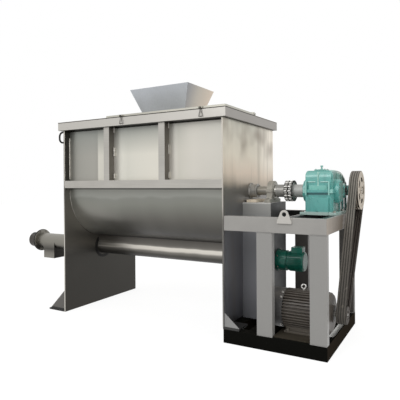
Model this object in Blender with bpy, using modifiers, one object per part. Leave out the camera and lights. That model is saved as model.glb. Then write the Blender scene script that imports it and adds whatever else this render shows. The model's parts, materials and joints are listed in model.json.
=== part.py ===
"""Ribbon blender: a horizontal U-trough mixer with a double ribbon agitator and a screw discharge.

X runs along the agitator shaft towards the drive, -Y is the operator's side, Z is up. The origin lies on
the floor under the shaft, below the trough's drive end. All lengths are in metres.
"""

import math

import bmesh
import bpy
from mathutils import Matrix, Vector

# Clearances and cutting
GAP = 0.0003
RUNNING_GAP = 0.0005
OVERRUN = 0.02
WELD_DEPTH = 0.001
ROUND_SIDES = 20

# Trough
AXIS_HEIGHT = 1.545
TROUGH_RADIUS = 0.620
TROUGH_WALL = 0.008
TROUGH_LENGTH = 2.2555
WALL_RISE = 0.867
ARC_STEPS = 30
SLOT_WIDTH = 0.150
SLOT_END_MARGIN = 0.060

# End plates and their feet
PLATE_THICKNESS = 0.016
PLATE_SIDE_MARGIN = 0.092
DRIVE_PLATE_FACE = -0.045
SEAL_SPIGOT_RADIUS = 0.068
FOOT_THICKNESS = 0.020
GUSSET_THICKNESS = 0.010
GUSSET_TOE = 0.006
FAR_GUSSET_HEIGHT = 0.255
FAR_GUSSET_REACH = 0.250
FAR_FOOT_REACH = 0.275
DRIVE_GUSSET_HEIGHT = 0.146
DRIVE_GUSSET_REACH = 0.165
DRIVE_FOOT_LENGTH = 0.220

# Rim, mid rail and ribs
RIM_HEIGHT = 0.095
RIM_SHEET = 0.006
RIM_OVERHANG_SIDE = 0.030
RIM_OVERHANG_DRIVE = 0.045
RIM_OVERHANG_FAR = 0.064
RAIL_HEIGHT = 0.092
RAIL_DROP = -0.039
RAIL_SHEET = 0.005
RIB_WIDTH = 0.084
RIB_PLACE_SHARES = (0.3125, 0.6685)

# Cover, lid and hinge
COVER_THICKNESS = 0.008
LID_LENGTH = 1.583
LID_HEIGHT = 0.024
LID_SHEET = 0.003
GASKET_THICKNESS = 0.004
GASKET_WIDTH = 0.040
HINGE_BARREL_RADIUS = 0.012
HINGE_PIN_RADIUS = 0.005
HINGE_RISE = 0.006
HINGE_KNUCKLES = 7
KNUCKLE_GAP = 0.001
HINGE_LEAF_WIDTH = 0.045
HINGE_LEAF_THICKNESS = 0.004
BAR_DEPTH = 0.055
BAR_WIDTH = 0.060

# Lid clamps and handle
CLAMP_PLACE_SHARES = (0.853, 0.18)
CLAMP_PIN_RADIUS = 0.004
CLAMP_EYE_RADIUS = 0.010
CLAMP_STAND_OFF = 0.012
CLAMP_STRAP_WIDTH = 0.032
CLAMP_STRAP_THICKNESS = 0.008
CLAMP_STRAP_DROP = 0.105
CLAMP_SCREW_RADIUS = 0.007
CLAMP_EAR = 0.006
HANDLE_ROD_RADIUS = 0.009
HANDLE_HEIGHT = 0.150
HANDLE_REACH = 0.054
HANDLE_DROP = 0.015
HANDLE_INSET = 0.030
HANDLE_BEND = 0.032

# Hopper
HOPPER_TOP_LENGTH = 0.926
HOPPER_TOP_WIDTH = 0.697
HOPPER_TOP_X = -1.363
HOPPER_TOP_Y = 0.3485
HOPPER_BASE_LENGTH = 0.552
HOPPER_BASE_WIDTH = 0.354
HOPPER_BASE_X = -1.358
HOPPER_BASE_Y = 0.359
HOPPER_HEIGHT = 0.492
HOPPER_WALL = 0.004
HOPPER_FLANGE = 0.030
HOPPER_FLANGE_THICKNESS = 0.006

# Agitator
SHAFT_RADIUS = 0.050
SPIDER_STATIONS = 5
SPIDER_MARGIN = 0.067
SPIDER_SLEEVE_RADIUS = 0.080
SPIDER_SLEEVE_LENGTH = 0.100
ARM_RADIUS = 0.020
ARM_SIDES = 8
RIBBON_TURNS = 3
RIBBON_STEPS = 20
RIBBON_THICKNESS = 0.010
OUTER_RIBBON_RADIUS = 0.612
OUTER_RIBBON_WIDTH = 0.082
INNER_RIBBON_RADIUS = 0.345
INNER_RIBBON_WIDTH = 0.070

# Shaft seals and bearings
SEAL_FLANGE_RADIUS = 0.092
SEAL_FLANGE_THICKNESS = 0.010
SEAL_BODY_RADIUS = 0.075
SEAL_BODY_LENGTH = 0.074
GLAND_RADIUS = 0.080
GLAND_LENGTH = 0.016
BEARING_CENTRE_HEIGHT = 0.128
BEARING_ARCH_RADIUS = 0.112
BEARING_WIDTH = 0.078
BEARING_BORE_RADIUS = 0.085
BEARING_FOOT_HALF_LENGTH = 0.175
BEARING_FOOT_THICKNESS = 0.034
BEARING_OFFSET = 0.2635
FAR_BEARING_OFFSET = 0.165
SHAFT_STUB = 0.040

# Bearing pedestal at the drive end and bracket at the far end
PEDESTAL_LENGTH = 0.332
PEDESTAL_WIDTH = 0.490
PEDESTAL_WALL = 0.010
PEDESTAL_TOP = 0.020
PACKING_LENGTH = 0.112
PACKING_WIDTH = 0.320
PACKING_THICKNESS = 0.030
BRACKET_WIDTH = 0.400
BRACKET_REACH = 0.250
BRACKET_PLATE = 0.020
BRACKET_DEPTH = 0.260

# Discharge conveyor
TUBE_RADIUS = 0.1095
TUBE_WALL = 0.006
TUBE_DROP = 0.775
FLANGE_THICKNESS = 0.020
COLLAR_RADIUS = 0.151
OUTLET_REACH = 1.243
OUTLET_FLANGE_RADIUS = 0.160
SPOUT_LENGTH = 0.220
SPOUT_WIDTH = 0.220
SPOUT_WALL = 0.005
SPOUT_DROP = 0.245
SPOUT_INSET = 0.160
END_HOUSING_LENGTH = 0.175
END_HOUSING_WALL = 0.012
AUGER_SHAFT_RADIUS = 0.030
AUGER_RADIUS = 0.098
AUGER_PITCH = 0.250
AUGER_STEPS = 8
AUGER_FLIGHT = 0.006
AUGER_MARGIN = 0.030
AUGER_END = 0.080

# Screw gearmotor
GEAR_HEAD_RADIUS = 0.1135
GEAR_HEAD_LENGTH = 0.120
GEAR_FLANGE_RADIUS = 0.125
GEAR_FLANGE_THICKNESS = 0.018
SCREW_MOTOR_RADIUS = 0.106
SCREW_MOTOR_LENGTH = 0.183
SCREW_BOX_LENGTH = 0.125
SCREW_BOX_WIDTH = 0.110
SCREW_BOX_HEIGHT = 0.050
ROUNDING = 0.018

# Chain coupling
COUPLING_START = 0.275
COUPLING_HUB_RADIUS = 0.0705
COUPLING_MIDDLE = 0.430
COUPLING_END = 0.590
COUPLING_SPLIT = 0.012
SPROCKET_WIDTH = 0.032
CHAIN_TEETH = 14
CHAIN_PITCH_RADIUS = 0.107
CHAIN_ROLLER_RADIUS = 0.0095
CHAIN_ROLLER_SIDES = 6
LINK_WIDTH = 0.021
LINK_THICKNESS = 0.0055
TOOTH_HEIGHT = 0.006
TOOTH_TIP_SHARES = (0.38, 0.62)

# Reducer
REDUCER_CENTRE_HEIGHT = 0.245
REDUCER_CENTRE_X = 0.787
REDUCER_LENGTH_X = 0.265
REDUCER_FLANGE_X = 0.372
REDUCER_SPLIT_X = 0.305
REDUCER_FRONT = 0.200
REDUCER_CENTRES = 0.400
REDUCER_REAR = 0.150
REDUCER_FOOT_THICKNESS = 0.028
REDUCER_SPLIT_THICKNESS = 0.018
REDUCER_LIP = 0.025
REDUCER_COVER_HEIGHT = 0.215
REDUCER_COVER_CORNER = 0.080
REDUCER_COVER_CREST = 0.100
REDUCER_COVER_ROUNDING = 0.045
REDUCER_BOSS_LENGTH = 0.050
REDUCER_BOSS_RADII = (0.125, 0.080, 0.058)
REDUCER_MIDDLE_SHARE = 0.56
REDUCER_RIB_SHARES = (0.055, 0.475, 0.69, 0.915)
REDUCER_RIB_WIDTH = 0.014
REDUCER_RIB_REACH = 0.012
REDUCER_PAD_LENGTH = 0.215
REDUCER_PAD_DEPTH = 0.040
REDUCER_PAD_HEIGHT = 0.180
INSPECTION_LENGTH = 0.120
INSPECTION_WIDTH = 0.150
INSPECTION_THICKNESS = 0.012
OUTPUT_SHAFT_RADIUS = 0.045
INPUT_SHAFT_RADIUS = 0.030
SHAFT_SEAT = 0.060

# Belt drive
PULLEY_START = 1.012
PULLEY_WIDTH = 0.098
DRIVEN_PULLEY_RADIUS = 0.215
MOTOR_PULLEY_RADIUS = 0.0850
PULLEY_HUB_RADIUS = 0.055
PULLEY_RIM = 0.036
PULLEY_WEB = 0.020
PULLEY_HOLES = 5
DRIVEN_PULLEY_SIDES = 22
MOTOR_PULLEY_SIDES = 16
PULLEY_HOLE_RADIUS = 0.034
BELT_COUNT = 4
BELT_PITCH = 0.0235
BELT_TOP_WIDTH = 0.0195
BELT_DEPTH = 0.011
BELT_BAND = 0.003
GROOVE_DEPTH = 0.014
GROOVE_SLOPE = math.tan(math.radians(18))
BELT_ARC_STEPS = 7

# Main motor
MOTOR_Y = -0.360
MOTOR_CENTRE_HEIGHT = 0.202
MOTOR_START = 0.345
COWL_LENGTH = 0.165
MOTOR_FRAME_LENGTH = 0.420
BELL_LENGTH = 0.055
MOTOR_CORE_RADIUS = 0.174
MOTOR_FIN_RADIUS = 0.200
MOTOR_FINS = 40
FIN_ROOT_SHARE = 0.28
FIN_TIP_SHARE = 0.16
COWL_RADIUS = 0.197
COWL_SHEET = 0.003
MOTOR_SHAFT_RADIUS = 0.0275
MOTOR_FOOT_WIDTH = 0.070
MOTOR_FOOT_SPREAD = 0.110
MOTOR_FOOT_THICKNESS = 0.018
MOTOR_FOOT_INSET = 0.020
MOTOR_FOOT_LENGTH = 0.290
FAN_RADIUS = 0.165
FAN_BLADES = 8
FAN_BLADE_THICKNESS = 0.006
FAN_DISC_THICKNESS = 0.008
FAN_BLADE_LENGTH = 0.060
MOTOR_BOX_LENGTH = 0.150
MOTOR_BOX_REACH = 0.085
MOTOR_BOX_HEIGHT = 0.140
MOTOR_BOX_RISE = 0.020

# Drive stand
BASE_HEIGHT = 0.1378
BASE_START = -0.055
BASE_LENGTH = 1.056
STAND_FRONT = -0.714
STAND_DEPTH = 1.289
BASE_CHANNEL = 0.100
MOTOR_PLATE_THICKNESS = 0.012
MOTOR_PLATE_INSET = 0.020
END_SLOT_LENGTH = 0.450
END_SLOT_WIDTH = 0.054
END_SLOT_WALL = 0.012
END_SLOT_CENTRE = -0.195
BEAM_HEIGHT = 0.150
BEAM_WIDTH = 0.080
POST_WIDTH = 0.161
POST_DEPTH = 0.072
POST_WALL = 0.006
INNER_POST_START = 0.313
LUG_WIDTH = 0.143
LUG_HEIGHT = 0.130
LUG_THICKNESS = 0.016
LUG_TOP_RADIUS = 0.042
LUG_HOLE_RADIUS = 0.022
LUG_CENTRE_X = 0.603
LUG_LAP = 0.055

# Levels and places that follow from the sizes above
TURN = 2 * math.pi
PLATE_INNER = DRIVE_PLATE_FACE - PLATE_THICKNESS
FAR_PLATE_INNER = PLATE_INNER - TROUGH_LENGTH
FAR_PLATE_FACE = FAR_PLATE_INNER - PLATE_THICKNESS
SHELL_RADIUS = TROUGH_RADIUS + TROUGH_WALL
PLATE_HALF_WIDTH = SHELL_RADIUS + PLATE_SIDE_MARGIN
RIM_HALF_WIDTH = PLATE_HALF_WIDTH + RIM_OVERHANG_SIDE
RIM_TOP = AXIS_HEIGHT + WALL_RISE
RIM_BOTTOM = RIM_TOP - RIM_HEIGHT
RIM_DRIVE_X = DRIVE_PLATE_FACE + RIM_OVERHANG_DRIVE
RIM_FAR_X = FAR_PLATE_FACE - RIM_OVERHANG_FAR
RAIL_BOTTOM = AXIS_HEIGHT - RAIL_DROP
COVER_TOP = RIM_TOP + GAP + COVER_THICKNESS
GASKET_TOP = RIM_TOP + GAP + GASKET_THICKNESS
LID_TOP = GASKET_TOP + GAP + LID_HEIGHT
LID_FAR_X = RIM_DRIVE_X - LID_LENGTH
LID_REAR_Y = -HINGE_BARREL_RADIUS - 2 * KNUCKLE_GAP
HINGE_Z = LID_TOP + HINGE_RISE
TUBE_Z = AXIS_HEIGHT - TUBE_DROP
STAND_TOP = AXIS_HEIGHT - REDUCER_CENTRE_HEIGHT
STAND_REAR = STAND_FRONT + STAND_DEPTH
STAND_END = BASE_START + BASE_LENGTH
PEDESTAL_TOP_Z = AXIS_HEIGHT - BEARING_CENTRE_HEIGHT
PEDESTAL_FACE = DRIVE_PLATE_FACE + GAP + PEDESTAL_LENGTH
DRIVE_BEARING_X = DRIVE_PLATE_FACE + BEARING_OFFSET
FAR_BEARING_X = FAR_PLATE_FACE - FAR_BEARING_OFFSET
MOTOR_Z = BASE_HEIGHT + MOTOR_PLATE_THICKNESS + GAP + MOTOR_CENTRE_HEIGHT
STATION_STEP = (TROUGH_LENGTH - 2 * SPIDER_MARGIN) / (SPIDER_STATIONS - 1)
FIRST_STATION = FAR_PLATE_INNER + SPIDER_MARGIN
RIBBON_PITCH = (SPIDER_STATIONS - 1) * STATION_STEP / RIBBON_TURNS
OUTER_RIBBON_INSIDE = OUTER_RIBBON_RADIUS - OUTER_RIBBON_WIDTH
INNER_RIBBON_INSIDE = INNER_RIBBON_RADIUS - INNER_RIBBON_WIDTH
OUTLET_END = FAR_PLATE_FACE - GAP - OUTLET_REACH
SPOUT_X = OUTLET_END + SPOUT_INSET + SPOUT_LENGTH / 2

PARTS = None
CUTTERS = None


# Scene helpers

def clear_scene():
    for obj in list(bpy.data.objects):
        bpy.data.objects.remove(obj, do_unlink=True)


def new_collection(name):
    collection = bpy.data.collections.new(name)
    bpy.context.scene.collection.children.link(collection)
    return collection


def material(name, colour, roughness, metallic):
    made = bpy.data.materials.new(name)
    made.use_nodes = True
    shader = made.node_tree.nodes["Principled BSDF"]
    shader.inputs["Base Color"].default_value = (*colour, 1)
    shader.inputs["Roughness"].default_value = roughness
    shader.inputs["Metallic"].default_value = metallic
    return made


def add_mesh(name, mesh):
    """A new object in the parts collection."""
    obj = bpy.data.objects.new(name, mesh)
    PARTS.objects.link(obj)
    return obj


def from_bmesh(name, shape):
    mesh = bpy.data.meshes.new(name)
    shape.to_mesh(mesh)
    shape.free()
    return add_mesh(name, mesh)


def finish(obj, colour, smooth=False):
    """Gives the piece its own material, and smooth shading where it is round."""
    obj.data.materials.clear()
    obj.data.materials.append(material(obj.name, *colour))
    if smooth:
        obj.data.shade_smooth()
        obj.data.set_sharp_from_angle(angle=math.radians(30))
    return obj


def box(name, x, y, z):
    """A box from three (low, high) pairs."""
    shape = bmesh.new()
    size = [high - low for low, high in (x, y, z)]
    middle = [(high + low) / 2 for low, high in (x, y, z)]
    bmesh.ops.create_cube(shape, size=1, matrix=Matrix.Translation(middle) @ Matrix.Diagonal((*size, 1)))
    return from_bmesh(name, shape)


def rod(name, start, end, radius, sides=ROUND_SIDES):
    """A solid cylinder between two points."""
    start, end = Vector(start), Vector(end)
    along = end - start
    shape = bmesh.new()
    place = Matrix.Translation((start + end) / 2) @ along.to_track_quat("Z", "Y").to_matrix().to_4x4()
    bmesh.ops.create_cone(shape, cap_ends=True, segments=sides, radius1=radius, radius2=radius,
                          depth=along.length, matrix=place)
    return from_bmesh(name, shape)


def drum(name, x, radius, y=0, z=0, sides=ROUND_SIDES):
    """A solid cylinder along X, from a (low, high) pair."""
    return rod(name, (x[0], y, z), (x[1], y, z), radius, sides)


def turned(name, profile, y, z, sides=ROUND_SIDES, start=0):
    """A solid turned about the line along X at (y, z). The profile lists (x, radius) down its outer side.

    A journal starts half a side round, so that its corners face the flats of its bore."""
    mesh = bpy.data.meshes.new(name)
    closed = profile[0][1] > 0 and profile[-1][1] > 0
    count = len(profile)
    edges = [(i, i + 1) for i in range(count - 1)] + ([(count - 1, 0)] if closed else [])
    side, rise = math.cos(start), math.sin(start)
    mesh.from_pydata([(radius * side, radius * rise, x) for x, radius in profile], edges, [])
    obj = add_mesh(name, mesh)
    obj.location = (0, y, z)
    obj.rotation_euler = (0, math.pi / 2, 0)
    screw = obj.modifiers.new("Turn", "SCREW")
    screw.steps = screw.render_steps = sides
    screw.use_merge_vertices = True
    screw.merge_threshold = GAP / 10
    return baked(obj)


def baked(obj):
    """The object with its modifiers or curve made into a welded mesh with its faces pointing out."""
    bpy.context.view_layer.update()
    graph = bpy.context.evaluated_depsgraph_get()
    mesh = bpy.data.meshes.new_from_object(obj.evaluated_get(graph))
    shape = bmesh.new()
    shape.from_mesh(mesh)
    bmesh.ops.remove_doubles(shape, verts=shape.verts, dist=GAP / 100)
    bmesh.ops.recalc_face_normals(shape, faces=shape.faces)
    shape.to_mesh(mesh)
    shape.free()
    name, place = obj.name, obj.matrix_world.copy()
    bpy.data.objects.remove(obj, do_unlink=True)
    solid = add_mesh(name, mesh)
    solid.name = name
    solid.matrix_world = place
    return solid


AXIS_FRAMES = {
    "X": Matrix(((0, 0, 1), (1, 0, 0), (0, 1, 0))),
    "Y": Matrix(((1, 0, 0), (0, 0, -1), (0, 1, 0))),
    "Z": Matrix.Identity(3),
}


def extruded(name, axis, loops, low, high):
    """A flat outline with any holes, extruded along an axis. Outlines are (y, z), (x, z) or (x, y)."""
    curve = bpy.data.curves.new(name, "CURVE")
    curve.dimensions = "2D"
    curve.fill_mode = "BOTH"
    curve.extrude = (high - low) / 2
    for loop in loops:
        spline = curve.splines.new("POLY")
        spline.points.add(len(loop) - 1)
        for point, (across, up) in zip(spline.points, loop):
            point.co = (across, up, 0, 1)
        spline.use_cyclic_u = True
    obj = bpy.data.objects.new(name, curve)
    PARTS.objects.link(obj)
    frame = AXIS_FRAMES[axis]
    normal = frame @ Vector((0, 0, 1))
    level = (low + high) / 2
    obj.matrix_world = Matrix.Translation(Vector([abs(n) * level for n in normal])) @ frame.to_4x4()
    bpy.context.view_layer.update()
    return baked(obj)


def arc(y, z, radius, start, end, steps):
    """Points of an arc, in degrees from +Y towards +Z, both ends included."""
    points = []
    for step in range(steps + 1):
        angle = math.radians(start + (end - start) * step / steps)
        points.append((y + radius * math.cos(angle), z + radius * math.sin(angle)))
    return points


def circle(y, z, radius, steps=ROUND_SIDES):
    return arc(y, z, radius, 0, 360, steps)[:-1]


def bore_of(radius, sides=ROUND_SIDES):
    """A bore's radius at its corners, so that its flats stay a running gap clear of the shaft in it."""
    return (radius + RUNNING_GAP) / math.cos(math.pi / sides)


def rectangle(across, up):
    return [(across[0], up[0]), (across[1], up[0]), (across[1], up[1]), (across[0], up[1])]


def boolean(target, tool, operation):
    """Cuts or joins with a tool, which then stays as a hidden guide."""
    modifier = target.modifiers.new(tool.name, "BOOLEAN")
    modifier.operation = operation
    modifier.solver = "EXACT"
    modifier.object = tool
    tool.hide_render = True
    tool.display_type = "WIRE"
    PARTS.objects.unlink(tool)
    CUTTERS.objects.link(tool)
    return target


def join(target, *tools):
    for tool in tools:
        boolean(target, tool, "UNION")
    return target


def cut(target, *tools):
    for tool in tools:
        boolean(target, tool, "DIFFERENCE")
    return target


def helix(name, inside, outside, start_x, pitch, turns, steps, thickness, phase, y, z):
    """A flat strip wound about the line along X at (y, z). A negative pitch winds the other hand."""
    mesh = bpy.data.meshes.new(name)
    mesh.from_pydata([(inside, 0, 0), (outside, 0, 0)], [(0, 1)], [])
    obj = add_mesh(name, mesh)
    obj.matrix_world = (Matrix.Translation((start_x, y, z)) @ Matrix.Rotation(math.pi / 2, 4, "Y")
                        @ Matrix.Rotation(phase, 4, "Z"))
    screw = obj.modifiers.new("Wind", "SCREW")
    screw.angle = TURN * turns
    screw.screw_offset = pitch * turns
    screw.steps = screw.render_steps = round(steps * turns)
    screw.use_merge_vertices = False
    wall = obj.modifiers.new("Thickness", "SOLIDIFY")
    wall.thickness = thickness
    wall.offset = 0
    return baked(obj)


def carry(empty_name, place, pieces):
    """Parents moving pieces to an empty on their joint's axis."""
    empty = bpy.data.objects.new(empty_name, None)
    PARTS.objects.link(empty)
    empty.location = place
    bpy.context.view_layer.update()
    for piece in pieces:
        piece.parent = empty
        piece.matrix_parent_inverse = empty.matrix_world.inverted()
    return empty


# Colours: base colour, roughness, metallic
STAINLESS = ((0.48, 0.47, 0.45), 0.35, 0.9)
BRIGHT_STEEL = ((0.62, 0.61, 0.58), 0.25, 0.95)
GREY_PAINT = ((0.38, 0.37, 0.35), 0.5, 0.1)
BLACK_PAINT = ((0.012, 0.012, 0.011), 0.45, 0.0)
TEAL_PAINT = ((0.07, 0.42, 0.38), 0.3, 0.0)
GREEN_PAINT = ((0.02, 0.12, 0.09), 0.35, 0.0)
MOTOR_PAINT = ((0.09, 0.085, 0.075), 0.5, 0.2)
CAST_IRON = ((0.27, 0.26, 0.23), 0.55, 0.5)
PULLEY_IRON = ((0.45, 0.40, 0.33), 0.45, 0.5)
DARK_STEEL = ((0.06, 0.055, 0.05), 0.4, 0.8)
RUBBER = ((0.05, 0.048, 0.044), 0.7, 0.0)
GASKET_RUBBER = ((0.03, 0.03, 0.03), 0.8, 0.0)
TAN_PACKING = ((0.52, 0.44, 0.34), 0.6, 0.0)


# Trough

def trough_shell():
    top = RIM_TOP - GAP
    outside = ([(-SHELL_RADIUS, top)] + arc(0, AXIS_HEIGHT, SHELL_RADIUS, 180, 360, ARC_STEPS)
               + [(SHELL_RADIUS, top)])
    inside = ([(TROUGH_RADIUS, top)] + arc(0, AXIS_HEIGHT, TROUGH_RADIUS, 360, 180, ARC_STEPS)
              + [(-TROUGH_RADIUS, top)])
    shell = extruded("trough_shell", "X", [outside + inside], FAR_PLATE_INNER + GAP, PLATE_INNER - GAP)
    floor = AXIS_HEIGHT - SHELL_RADIUS
    slot = box("slot_cut", (FAR_PLATE_INNER + SLOT_END_MARGIN, PLATE_INNER - SLOT_END_MARGIN),
               (-SLOT_WIDTH / 2, SLOT_WIDTH / 2), (floor - OVERRUN, floor + 2 * OVERRUN))
    return finish(cut(shell, slot), STAINLESS, smooth=True)


def end_plate(name, x_low, x_high, bottom, tube_hole):
    loops = [rectangle((-PLATE_HALF_WIDTH, PLATE_HALF_WIDTH), (bottom, RIM_BOTTOM - GAP)),
             circle(0, AXIS_HEIGHT, SEAL_SPIGOT_RADIUS),
             circle(0, TUBE_Z, tube_hole)]
    return finish(extruded(name, "X", loops, x_low, x_high), STAINLESS)


def gusset(name, x_root, reach, bottom, height, y):
    """A web with a blunt toe, square to the plate it braces."""
    toe = math.copysign(GUSSET_TOE, height)
    outline = [(x_root, bottom), (x_root + reach, bottom), (x_root + reach, bottom + toe),
               (x_root, bottom + height)]
    return extruded(name, "Y", [outline], y - GUSSET_THICKNESS / 2, y + GUSSET_THICKNESS / 2)


def far_foot():
    foot = box("far_end_foot", (FAR_PLATE_FACE - FAR_FOOT_REACH, FAR_PLATE_FACE - GAP),
               (-PLATE_HALF_WIDTH, PLATE_HALF_WIDTH), (0, FOOT_THICKNESS))
    edge = PLATE_HALF_WIDTH - GUSSET_THICKNESS
    for index, y in enumerate((-edge, 0, edge)):
        join(foot, gusset(f"far_gusset_{index}", FAR_PLATE_FACE - GAP, -FAR_GUSSET_REACH,
                          FOOT_THICKNESS - WELD_DEPTH, FAR_GUSSET_HEIGHT, y))
    return finish(foot, STAINLESS)


def drive_foot():
    """A sill under the plate, with a gusseted pad outside it at the front and the rear."""
    bottom = BASE_HEIGHT + GAP
    top = bottom + FOOT_THICKNESS
    foot = box("drive_end_foot", (PLATE_INNER, DRIVE_PLATE_FACE),
               (STAND_FRONT, STAND_REAR), (bottom, top))
    outer = DRIVE_PLATE_FACE + GAP + DRIVE_GUSSET_REACH
    edges = ((STAND_FRONT, STAND_FRONT + DRIVE_FOOT_LENGTH, STAND_FRONT + GUSSET_THICKNESS),
             (STAND_REAR - DRIVE_FOOT_LENGTH, STAND_REAR, STAND_REAR - GUSSET_THICKNESS))
    for index, (low, high, web_y) in enumerate(edges):
        join(foot, box(f"drive_foot_pad_{index}", (PLATE_INNER, outer), (low, high), (bottom, top)),
             gusset(f"drive_gusset_{index}", DRIVE_PLATE_FACE + GAP, DRIVE_GUSSET_REACH,
                    top - WELD_DEPTH, DRIVE_GUSSET_HEIGHT, web_y))
    return finish(foot, STAINLESS)


def top_rim():
    """A mitred channel round the mouth, open towards the trough walls."""
    inner_x = (FAR_PLATE_INNER, PLATE_INNER)
    inner_y = SHELL_RADIUS + GAP
    rim = box("top_rim_frame", (RIM_FAR_X, RIM_DRIVE_X), (-RIM_HALF_WIDTH, RIM_HALF_WIDTH),
              (RIM_BOTTOM, RIM_TOP))
    mouth = box("rim_mouth_cut", inner_x, (-inner_y, inner_y), (RIM_BOTTOM - OVERRUN, RIM_TOP + OVERRUN))
    hollow = box("rim_channel_cut", (RIM_FAR_X + RIM_SHEET, RIM_DRIVE_X - RIM_SHEET),
                 (-RIM_HALF_WIDTH + RIM_SHEET, RIM_HALF_WIDTH - RIM_SHEET),
                 (RIM_BOTTOM + RIM_SHEET, RIM_TOP - RIM_SHEET))
    return finish(cut(rim, mouth, hollow), STAINLESS)


def panel_frame(name, side):
    """A folded mid rail with two folded ribs above it, open towards the wall. Side is -1 front, 1 rear."""
    wall = SHELL_RADIUS + GAP
    low_x, high_x = FAR_PLATE_INNER + GAP, PLATE_INNER - GAP
    rib_top = RIM_BOTTOM - GAP

    def span(a, b):
        return tuple(sorted((side * a, side * b)))

    spans = [((low_x, high_x), (RAIL_BOTTOM, RAIL_BOTTOM + RAIL_HEIGHT))]
    for share in RIB_PLACE_SHARES:
        middle = low_x + share * (high_x - low_x)
        spans.append(((middle - RIB_WIDTH / 2, middle + RIB_WIDTH / 2),
                      (RAIL_BOTTOM + WELD_DEPTH, rib_top)))
    frame = None
    for index, (x, z) in enumerate(spans):
        bar = box(name if index == 0 else f"{name}_rib_{index}", x, span(wall, PLATE_HALF_WIDTH), z)
        frame = bar if frame is None else join(frame, bar)
    for index, (x, z) in enumerate(spans):
        ceiling = z[1] - RAIL_SHEET if index == 0 else z[1] + OVERRUN
        frame = cut(frame, box(f"{name}_hollow_{index}", (x[0] + RAIL_SHEET, x[1] - RAIL_SHEET),
                               span(wall - OVERRUN, PLATE_HALF_WIDTH - RAIL_SHEET),
                               (z[0] + RAIL_SHEET, ceiling)))
    return finish(frame, STAINLESS)


# Cover, lid and clamps

def knuckle_spans():
    """The hinge's knuckles along X, each as (low, high)."""
    step = LID_LENGTH / HINGE_KNUCKLES
    starts = [LID_FAR_X + index * step for index in range(HINGE_KNUCKLES)]
    return [(start + KNUCKLE_GAP / 2, start + step - KNUCKLE_GAP / 2) for start in starts]


def fixed_cover():
    """The plate over the far third and the rear half, with the bars that carry its free edges."""
    low, high = RIM_TOP + GAP, COVER_TOP
    far, drive, half = RIM_FAR_X, RIM_DRIVE_X, RIM_HALF_WIDTH
    corner_x = LID_FAR_X - KNUCKLE_GAP
    outline = [(far, -half), (corner_x, -half), (corner_x, 0), (drive, 0), (drive, half), (far, half)]
    mouth_x = HOPPER_BASE_LENGTH / 2 - HOPPER_WALL
    mouth_y = HOPPER_BASE_WIDTH / 2 - HOPPER_WALL
    mouth = rectangle((HOPPER_BASE_X - mouth_x, HOPPER_BASE_X + mouth_x),
                      (HOPPER_BASE_Y - mouth_y, HOPPER_BASE_Y + mouth_y))
    cover = extruded("fixed_cover", "Z", [outline, mouth], low, high)
    wall = TROUGH_RADIUS - GAP
    ends = (FAR_PLATE_INNER + GAP, PLATE_INNER - GAP)
    bars = (
        ("long_bar", (corner_x - BAR_WIDTH / 2, ends[1]), (-BAR_WIDTH * 2 / 3, BAR_WIDTH / 3)),
        ("cross_bar", (corner_x - BAR_WIDTH / 3, corner_x + BAR_WIDTH * 2 / 3), (-wall, BAR_WIDTH / 3)),
    )
    for name, x, y in bars:
        join(cover, box(name, x, y, (RIM_TOP - BAR_DEPTH, RIM_TOP)))
    join(cover, box("long_riser", (corner_x - BAR_WIDTH / 3, ends[1]), (WELD_DEPTH, BAR_WIDTH / 3),
                    (RIM_TOP - BAR_DEPTH / 2, low + WELD_DEPTH)),
         box("cross_riser", (corner_x - BAR_WIDTH / 3, corner_x - WELD_DEPTH), (-wall, BAR_WIDTH / 3),
             (RIM_TOP - BAR_DEPTH / 2, low + WELD_DEPTH)))
    for index, span in enumerate(knuckle_spans()):
        if index % 2 == 0:
            join(cover, drum(f"cover_knuckle_{index}", span, HINGE_BARREL_RADIUS, 0, HINGE_Z, 12),
                 box(f"cover_leaf_{index}", span, (HINGE_BARREL_RADIUS * 2 / 3, HINGE_LEAF_WIDTH),
                     (high - WELD_DEPTH, HINGE_Z + HINGE_LEAF_THICKNESS)))
    cut(cover, drum("cover_pin_bore", (LID_FAR_X - OVERRUN, drive + OVERRUN),
                    HINGE_PIN_RADIUS + RUNNING_GAP, 0, HINGE_Z, 12))
    return finish(cover, STAINLESS)


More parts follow.
